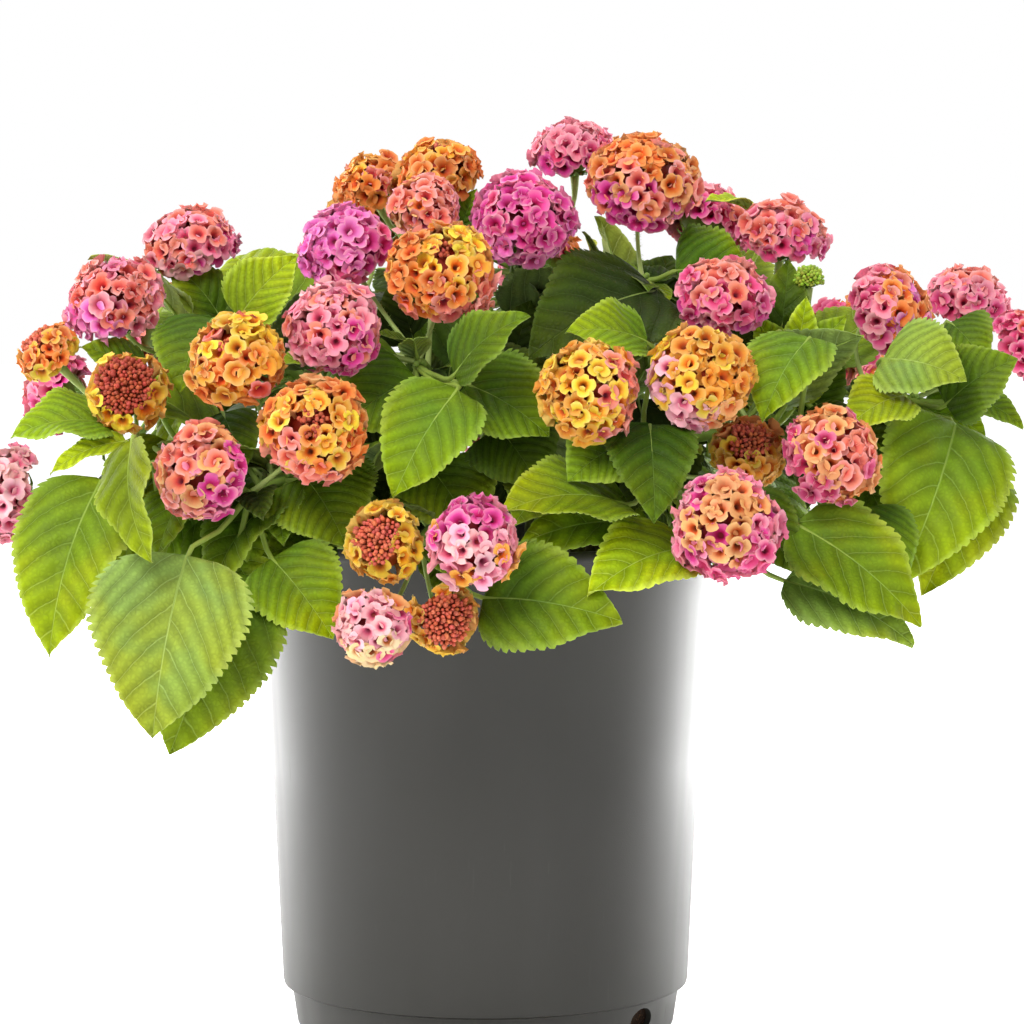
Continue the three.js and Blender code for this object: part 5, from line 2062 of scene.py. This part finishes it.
    def lay_florets(self, cluster: Cluster, axes: np.ndarray, rng: Random) -> None:
        """Adds the open florets beyond the buds.

        Args:
            cluster: Where it goes.
            axes: The head's own axes as rows.
            rng: Draws what sets it apart.
        """
        look = self.plan.look
        low = min(look.buds, self.skirt)
        size = min(self.floret_radius, 0.25 * self.plan.radius + 1.0)
        room = self.floret_area * (size / self.floret_radius) ** 2
        number = round(self.area(low, self.skirt) / room)
        for way in self.spread(number, low, self.skirt, rng.uniform(0, 6)):
            if rng.random() > look.fill:
                continue
            stamp, ring = rng.choice(self.stamps.florets)
            lean = stray(rng, 0.26, 0.26, 0.12)
            normal = unit(way * (1, 1, 1.1) + lean)
            aside, over = square_frame(normal)
            turn = rng.uniform(0, 2 * math.pi)
            first = aside * math.cos(turn) + over * math.sin(turn)
            grow = size * rng.uniform(0.84, 1.08)
            local = (stamp.points * grow) @ np.array([first, np.cross(normal, first), normal])
            seat = self.surface(unit(way + lean * 0.25), rng.uniform(0.8, 0.97))
            tone = self.tone(way @ axes, rng)
            colours = self.floret_colours(tone, ring, rng)
            cluster.add(stamp, self.centre + (seat + local) @ axes, colours)

    def lay_buds(self, cluster: Cluster, axes: np.ndarray, rng: Random) -> None:
        """Adds the shut buds in the middle of the head.

        Args:
            cluster: Where it goes.
            axes: The head's own axes as rows.
            rng: Draws what sets it apart.
        """
        look = self.plan.look
        high = min(look.buds, self.skirt + 0.2)
        if not high:
            return
        size = min(self.bud_radius, self.plan.radius * 0.12)
        number = round(self.area(0, high) / (self.bud_area * (size / self.bud_radius) ** 2))
        for way in self.spread(number, 0, high, rng.uniform(0, 6)):
            normal = unit(way + np.array([rng.gauss(0, 0.12), rng.gauss(0, 0.12), 0.1]))
            grow = size * rng.uniform(0.75, 1.2)
            local = stood(self.stamps.bud.points * (grow, grow, grow * 1.6), normal)
            height = rng.uniform(0.68, 0.78) if look.buds < 2 else 0.55
            # Painted shade and light: each bud is darker at its base, where it sits among the others, and
            # lighter at its exposed tip.
            tip = eased(0.6, 2.0, self.stamps.bud.points[:, 2])[:, None]
            base = linear(look.bud.value) * np.array([1.0, rng.uniform(0.75, 1.2), rng.uniform(0.7, 1.2)])
            colours = base * rng.uniform(0.75, 1.1) * (0.6 + 0.5 * tip)
            cluster.add(self.stamps.bud, self.centre + (self.surface(way, height) + local) @ axes, colours)

    def lay_bracts(self, cluster: Cluster, axes: np.ndarray, rng: Random) -> None:
        """Adds the small green bracts under the head.

        Args:
            cluster: Where it goes.
            axes: The head's own axes as rows.
            rng: Draws what sets it apart.
        """
        stamp = self.stamps.blades[Grid.BRACT]
        shape = BladeShape(tooth=0.0, pucker=0.0, thickness=0.35)
        radius = self.plan.radius
        for k in range(self.bracts):
            angle = 2 * math.pi * (k + rng.uniform(-0.25, 0.25)) / self.bracts
            out = np.array([math.cos(angle), math.sin(angle), 0.0])
            base = out * 0.16 * radius - 0.46 * radius * UP
            tip = out * rng.uniform(0.48, 0.6) * radius + rng.uniform(-0.36, -0.26) * radius * UP
            base, tip = (self.centre + point @ axes for point in (base, tip))
            leaf = Leaf(base, base, tip, 0.16 * radius, -axes[2])
            points, places = shape.bent(leaf, stamp, rng)
            cluster.add(stamp, points, self.BRACT_GREEN * rng.uniform(0.8, 1.2), places)

    def build(self, finishes: Finishes, slot: str) -> Object:
        """Makes the head.

        Args:
            finishes: The plant's materials.
            slot: The record's material slot of its petals.

        Returns:
            The finished piece.
        """
        cluster = Cluster()
        rng = Random(self.node)
        axes = self.axes()
        self.lay_core(cluster, axes)
        self.lay_florets(cluster, axes, rng)
        self.lay_buds(cluster, axes, rng)
        self.lay_bracts(cluster, axes, rng)
        made = cluster.piece(f"florets_{self.shoot}_{self.plan.letter}")
        Bench.hand_over(made, made.name, self.node, slot, finishes.petals)
        return made


# ---- pot and soil


@dataclass
class NurseryPot:
    """The moulded pot: a thin rolled rim, a tapered wall, and a recessed band round its foot with drains.

    Attributes are lengths in millimetres, apart from the counts and the bearings in degrees.
    """

    height: float = 184
    rim_radius: float = 85.6
    rim_depth: float = 4.2
    lip: float = 2.6
    wall_top_radius: float = 84
    wall_foot_radius: float = 76.4
    wall_middle_radius: float = 80.2
    wall_middle: float = 100
    band_radius: float = 73
    foot_radius: float = 71
    band_height: float = 15
    wall: float = 2
    floor: float = 2.5
    facets: int = 128
    slot_width: float = 13
    slot_low: float = 3
    slot_high: float = 12.6
    slot_bearings: tuple[float, ...] = (53, 233)
    drain_radius: float = 5
    drain_circle: float = 46
    drains: int = 4

    def profile(self) -> list[tuple[float, float]]:
        """The pot's section, from the middle of its underside to the middle of its floor.

        Returns:
            Radius and height of each point.
        """
        top, step, wall = self.height, self.band_height, self.wall
        rim, mouth, waist = self.rim_radius, self.wall_top_radius, self.wall_foot_radius
        band, foot = self.band_radius, self.foot_radius
        underside = [(8, 0.7), (foot - 6, 0.6), (foot - 5, 0.04), (foot - 0.5, 0), (foot, 0.5)]
        shoulder = [(band, step - 1.6), (band + 0.2, step - 0.6)]
        shoulder += [(waist - 1.2, step), (waist - 0.35, step + 0.5)]
        side = [(waist, step + 2), (self.wall_middle_radius, self.wall_middle), (mouth, top - 5.6)]
        bead = [(mouth + 0.5, top - 4.6), (rim - 0.3, top - 4.2), (rim, top - 3.6), (rim, top - 0.7)]
        lip = [(rim - 0.5, top - 0.1), (rim - 1.0, top - 0.02)]
        lip += [(rim - self.lip + 0.4, top), (rim - self.lip - 0.2, top - 0.6)]
        inside = [(mouth - wall, top - self.rim_depth), (waist - wall, step + 5), (band - wall, step - 1)]
        bottom = [(foot - wall, self.floor + 1.5), (foot - wall - 1.5, self.floor), (8, self.floor + 0.05)]
        return [*underside, *shoulder, *side, *bead, *lip, *inside, *bottom]

    @staticmethod
    def cutter(corners: int, radius: float, place: tuple, turn: tuple, stretch: tuple) -> Object:
        """A cylinder that cuts one drain, turned and stretched in its own mesh.

        Args:
            corners: Its corners.
            radius: Its radius.
            place: Its middle.
            turn: Its turn, in radians.
            stretch: The factors on its size.

        Returns:
            The cutter.
        """
        bpy.ops.object.select_all(action="DESELECT")
        bpy.ops.mesh.primitive_cylinder_add(vertices=corners, radius=radius, depth=12)
        made = bpy.context.active_object
        made.scale = stretch
        bpy.ops.object.transform_apply(location=False, rotation=False, scale=True)
        made.rotation_euler = turn
        bpy.ops.object.transform_apply(location=False, rotation=True, scale=False)
        made.location = place
        bpy.ops.object.transform_apply(location=True, rotation=False, scale=False)
        return made

    def cutters(self) -> list[Object]:
        """Models what cuts the drains.

        Returns:
            The cylinders for the band and the floor.
        """
        made = []
        radius = (self.slot_high - self.slot_low) / 2
        for degrees in self.slot_bearings:
            bearing = math.radians(degrees)
            x, y = self.band_radius * math.sin(bearing), -self.band_radius * math.cos(bearing)
            place = (x, y, self.slot_low + radius)
            stretch = (self.slot_width / 2 / radius, 1, 1)
            made.append(self.cutter(32, radius, place, (math.pi / 2, 0, bearing), stretch))
        for k in range(self.drains):
            bearing = math.radians(45 + 360 * k / self.drains)
            place = (self.drain_circle * math.sin(bearing), -self.drain_circle * math.cos(bearing), 0)
            made.append(self.cutter(28, self.drain_radius, place, (0, 0, 0), (1, 1, 1)))
        return made

    def build(self, finishes: Finishes) -> Object:
        """Makes the pot.

        Args:
            finishes: The plant's materials.

        Returns:
            The finished piece.
        """
        made = Bench.turned([(self.facets, radius, height) for radius, height in self.profile()])
        for cutter in self.cutters():
            Bench.finish(made, "BOOLEAN", object=cutter, operation="DIFFERENCE", solver="EXACT")
            bpy.data.objects.remove(cutter)
        Bench.take(made)
        made.scale = (MM, MM, MM)
        bpy.ops.object.transform_apply(location=False, rotation=False, scale=True)
        bpy.ops.object.shade_smooth_by_angle(angle=math.radians(40))
        Bench.hand_over(made, "nursery_pot", "pot", "pot_plastic", finishes.pot)
        return made


@dataclass
class PottingSoil:
    """The root ball: a lumpy surface strewn with crumbs and bark, down to the pot's floor.

    Attributes:
        top: Height of the surface.
        radius: Its radius there.
        foot_radius: The radius at the foot.
        floor: Height of its underside.
        bends: Radius and height of each bend of its side.
        crumbs: How many loose crumbs lie on it.
        rings: How many rings of corners its surface has.
        facets: How many corners each ring has.
    """

    top: float = 162
    radius: float = 80.5
    foot_radius: float = 68.4
    floor: float = 3
    bends: tuple[tuple[float, float], ...] = ((70.4, 13.8), (73.8, 20))
    crumbs: int = 420
    rings: int = 26
    facets: int = 96

    DARK = linear("2e2017")
    BARK = linear("6a4a31")
    CRUMB_SHAPE = (1.0, 0.8, 0.8)
    BARK_SHAPE = (1.7, 0.8, 0.45)

    @staticmethod
    def relief(x: Any, y: Any) -> Any:
        """How far the surface stands above or below its mean level.

        Args:
            x: Where, across.
            y: And ahead.

        Returns:
            The height.
        """
        waves = 0.8 * np.sin(x / 5.1 + 1.3 * np.sin(y / 9)) + 0.8 * np.sin(y / 6.3 + x / 11)
        lumps = 0.45 * np.sin(x / 1.7 + 2 * np.sin(y / 2.3)) * np.sin(y / 1.9 + 1.4 * np.sin(x / 2.9))
        return waves + lumps

    def ball(self) -> Stamp:
        """Models the root ball with its lumpy surface.

        Returns:
            The stamp.
        """
        shares = [k / self.rings for k in range(self.rings)]
        surface = [(self.radius * (1 - k), self.top + 0.5 * k) for k in shares]
        side = [(2, self.floor + 0.1), (self.foot_radius, self.floor), *self.bends]
        stamp = Stamp.taken_from(Bench.turned([(self.facets, *ring) for ring in (*side, *surface)]))
        points = stamp.points.copy()
        inner = (points[:, 2] > self.top - 1) & (np.hypot(points[:, 0], points[:, 1]) < self.radius - 1.5)
        points[inner, 2] += self.relief(points[inner, 0], points[inner, 1])
        return Stamp(points, stamp.corners, stamp.counts)

    def crumb(self) -> Stamp:
        """Models one rough crumb of radius one.

        Returns:
            The stamp.
        """
        bpy.ops.object.select_all(action="DESELECT")
        bpy.ops.mesh.primitive_ico_sphere_add(subdivisions=1, radius=1)
        stamp = Stamp.taken_from(bpy.context.active_object)
        rng = Random("crumb")
        rough = np.array([rng.uniform(0.75, 1.2) for _ in stamp.points])[:, None]
        return Stamp(stamp.points * rough, stamp.corners, stamp.counts)

    def build(self, finishes: Finishes) -> Object:
        """Makes the soil.

        Args:
            finishes: The plant's materials.

        Returns:
            The finished piece.
        """
        cluster = Cluster()
        ball = self.ball()
        cluster.add(ball, ball.points, np.array([*self.DARK, 0.0]))
        crumb = self.crumb()
        rng = Random("soil")
        for _ in range(self.crumbs):
            out = (self.radius - 5) * math.sqrt(rng.random())
            angle = rng.uniform(0, 2 * math.pi)
            x, y = out * math.cos(angle), out * math.sin(angle)
            way = unit(stray(rng, 1, 1, 1))
            bark = rng.random() < 0.25
            size = rng.uniform(0.8, 2.2)
            shape = crumb.points * size * (self.BARK_SHAPE if bark else self.CRUMB_SHAPE)
            height = self.top + float(self.relief(x, y)) + 0.25 * size
            points = np.array([x, y, height]) + stood(shape, way)
            shade = (self.BARK if bark else self.DARK) * rng.uniform(0.6, 1.4)
            cluster.add(crumb, points, np.array([*shade, 1.0 if bark else 0.6]))
        made = cluster.piece("potting_soil")
        Bench.hand_over(made, "potting_soil", "soil", "potting_soil", finishes.soil)
        return made


# ---- studio


@dataclass
class Studio:
    """A pale floor, soft lights and the camera, none of them part of the plant.

    Attributes:
        aim: The point that the camera looks at, in metres.
        distance: How far the camera stands from it.
        pitch: How far the camera looks down, in degrees.
        lens: Its focal length in millimetres, on a 36 mm sensor.

    MIDDLE is what the lamps face, and WHITE their usual colour.
    """

    aim: tuple[float, float, float] = (0.010, 0.0, 0.1922)
    distance: float = 1.5
    pitch: float = 4.5
    lens: float = 140.6

    MIDDLE = Vector((0, 0, 0.18))
    WHITE = (1.0, 1.0, 1.0)

    def camera(self) -> None:
        """Sets up the camera."""
        data = bpy.data.cameras.new("camera")
        data.lens = self.lens
        data.sensor_width = 36.0
        data.clip_start = 0.05
        data.clip_end = 50
        made = bpy.data.objects.new("camera", data)
        pitch = math.radians(self.pitch)
        back = Vector((0, -math.cos(pitch), math.sin(pitch)))
        made.location = Vector(self.aim) + back * self.distance
        made.rotation_euler = (-back).to_track_quat("-Z", "Y").to_euler()
        bpy.context.scene.collection.objects.link(made)
        bpy.context.scene.camera = made

    def lamp(
        self, name: str, place: tuple, size: tuple[float, float], power: float, colour: tuple
    ) -> Object:
        """Adds one soft area light that faces the plant.

        Args:
            name: Its name.
            place: Its place, in metres.
            size: Its width and height.
            power: Its power, in watts.
            colour: Its colour.

        Returns:
            The lamp.
        """
        data = bpy.data.lights.new(name, "AREA")
        data.shape = "RECTANGLE"
        data.size, data.size_y = size
        data.energy = power
        data.color = colour
        made = bpy.data.objects.new(name, data)
        made.visible_camera = False
        made.location = place
        made.rotation_euler = (self.MIDDLE - Vector(place)).to_track_quat("-Z", "Y").to_euler()
        bpy.context.scene.collection.objects.link(made)
        return made

    def lights(self) -> None:
        """Sets up a high key, a low fill, a light behind each side, one on the left and one on top."""
        white = self.WHITE
        self.lamp("key", (-0.6, -1.3, 1.5), (0.9, 0.9), 27, (1.0, 0.985, 0.96))
        self.lamp("fill", (1.1, -1.6, 0.6), (1.2, 1.0), 8, white)
        self.lamp("back_left", (-0.95, 0.95, 0.5), (1.1, 1.1), 16, white)
        self.lamp("back_right", (1.0, 0.9, 0.5), (1.1, 1.1), 16, white)
        self.lamp("glow_left", (-1.4, -0.5, 0.4), (0.5, 1.2), 9, white)
        self.lamp("top", (0.0, 0.3, 1.7), (1.2, 0.9), 10, white)

    def pot_strips(self, pot: Object) -> None:
        """Sets up a strip behind each side that lights only pot and floor, for the pot's pale edges.

        Args:
            pot: The finished pot.
        """
        lit = bpy.data.collections.new("lit_by_strips")
        for made in (pot, bpy.data.objects["floor"]):
            lit.objects.link(made)
        for strip in (
            self.lamp("strip_left", (-0.95, 0.95, 0.36), (1.1, 1.1), 52, self.WHITE),
            self.lamp("strip_right", (1.0, 0.9, 0.24), (1.0, 0.6), 51, self.WHITE),
        ):
            strip.light_linking.receiver_collection = lit

    def world(self) -> None:
        """A white surround that lights softly."""
        world = bpy.data.worlds.new("surround")
        world.use_nodes = True
        bpy.context.scene.world = world
        graph = Graph(world.node_tree)
        seen = world.node_tree.nodes["Background"]
        graph.feed(seen, {"Color": (1, 1, 1, 1), "Strength": 1.0})
        soft = graph.node("Background", {"Color": (1.0, 1.0, 0.97, 1), "Strength": 0.25})
        direct = graph.node("LightPath").outputs["Is Camera Ray"]
        mix = graph.node("MixShader", {0: direct, 1: soft.outputs[0], 2: seen.outputs[0]})
        graph.feed(world.node_tree.nodes["World Output"], {0: mix.outputs[0]})

    def floor(self) -> None:
        """A large pale floor."""
        bpy.ops.object.select_all(action="DESELECT")
        bpy.ops.mesh.primitive_circle_add(vertices=96, radius=6, fill_type="NGON", location=(0, 0, 0))
        made = bpy.context.active_object
        made.name = "floor"
        material = bpy.data.materials.new("studio_floor")
        material.use_nodes = True
        graph = Graph(material.node_tree)
        graph.feed(material.node_tree.nodes["Principled BSDF"], {
            "Base Color": (0.78, 0.78, 0.78, 1),
            "Roughness": 0.9,
            "Emission Color": graph.node("LightPath").outputs["Is Camera Ray"],
            "Emission Strength": 1.0,
        })
        made.data.materials.append(material)

    def build(self) -> None:
        """Sets up everything round the plant."""
        self.camera()
        self.lights()
        self.world()
        self.floor()
        scene = bpy.context.scene
        scene.view_settings.view_transform = "Standard"
        scene.cycles.use_denoising = True


# ---- the potted plant


def slot_of(node: str) -> str:
    """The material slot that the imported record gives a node."""
    return next(part["material_slot"] for part in frame["record"]["subparts"] if part["node"] == node)


def main() -> None:
    """Builds the studio, the pot, the soil, the shoots and the heads, and notes the sizes."""
    logging.basicConfig(level=logging.INFO, format="%(name)s %(message)s")
    studio = Studio()
    studio.build()
    finishes = Finishes()
    stamps = Stamps()
    maker = LeafMaker(stamps, BladeShape())
    studio.pot_strips(NurseryPot().build(finishes))
    PottingSoil().build(finishes)
    for shoot in SHOOTS:
        LeafyShoot(shoot, stamps, maker).build(finishes)
        for head in shoot.heads:
            bloom = FlowerHead(shoot.place, head, stamps)
            bloom.build(finishes, slot_of(bloom.node))


if __name__ == "__main__":
    main()
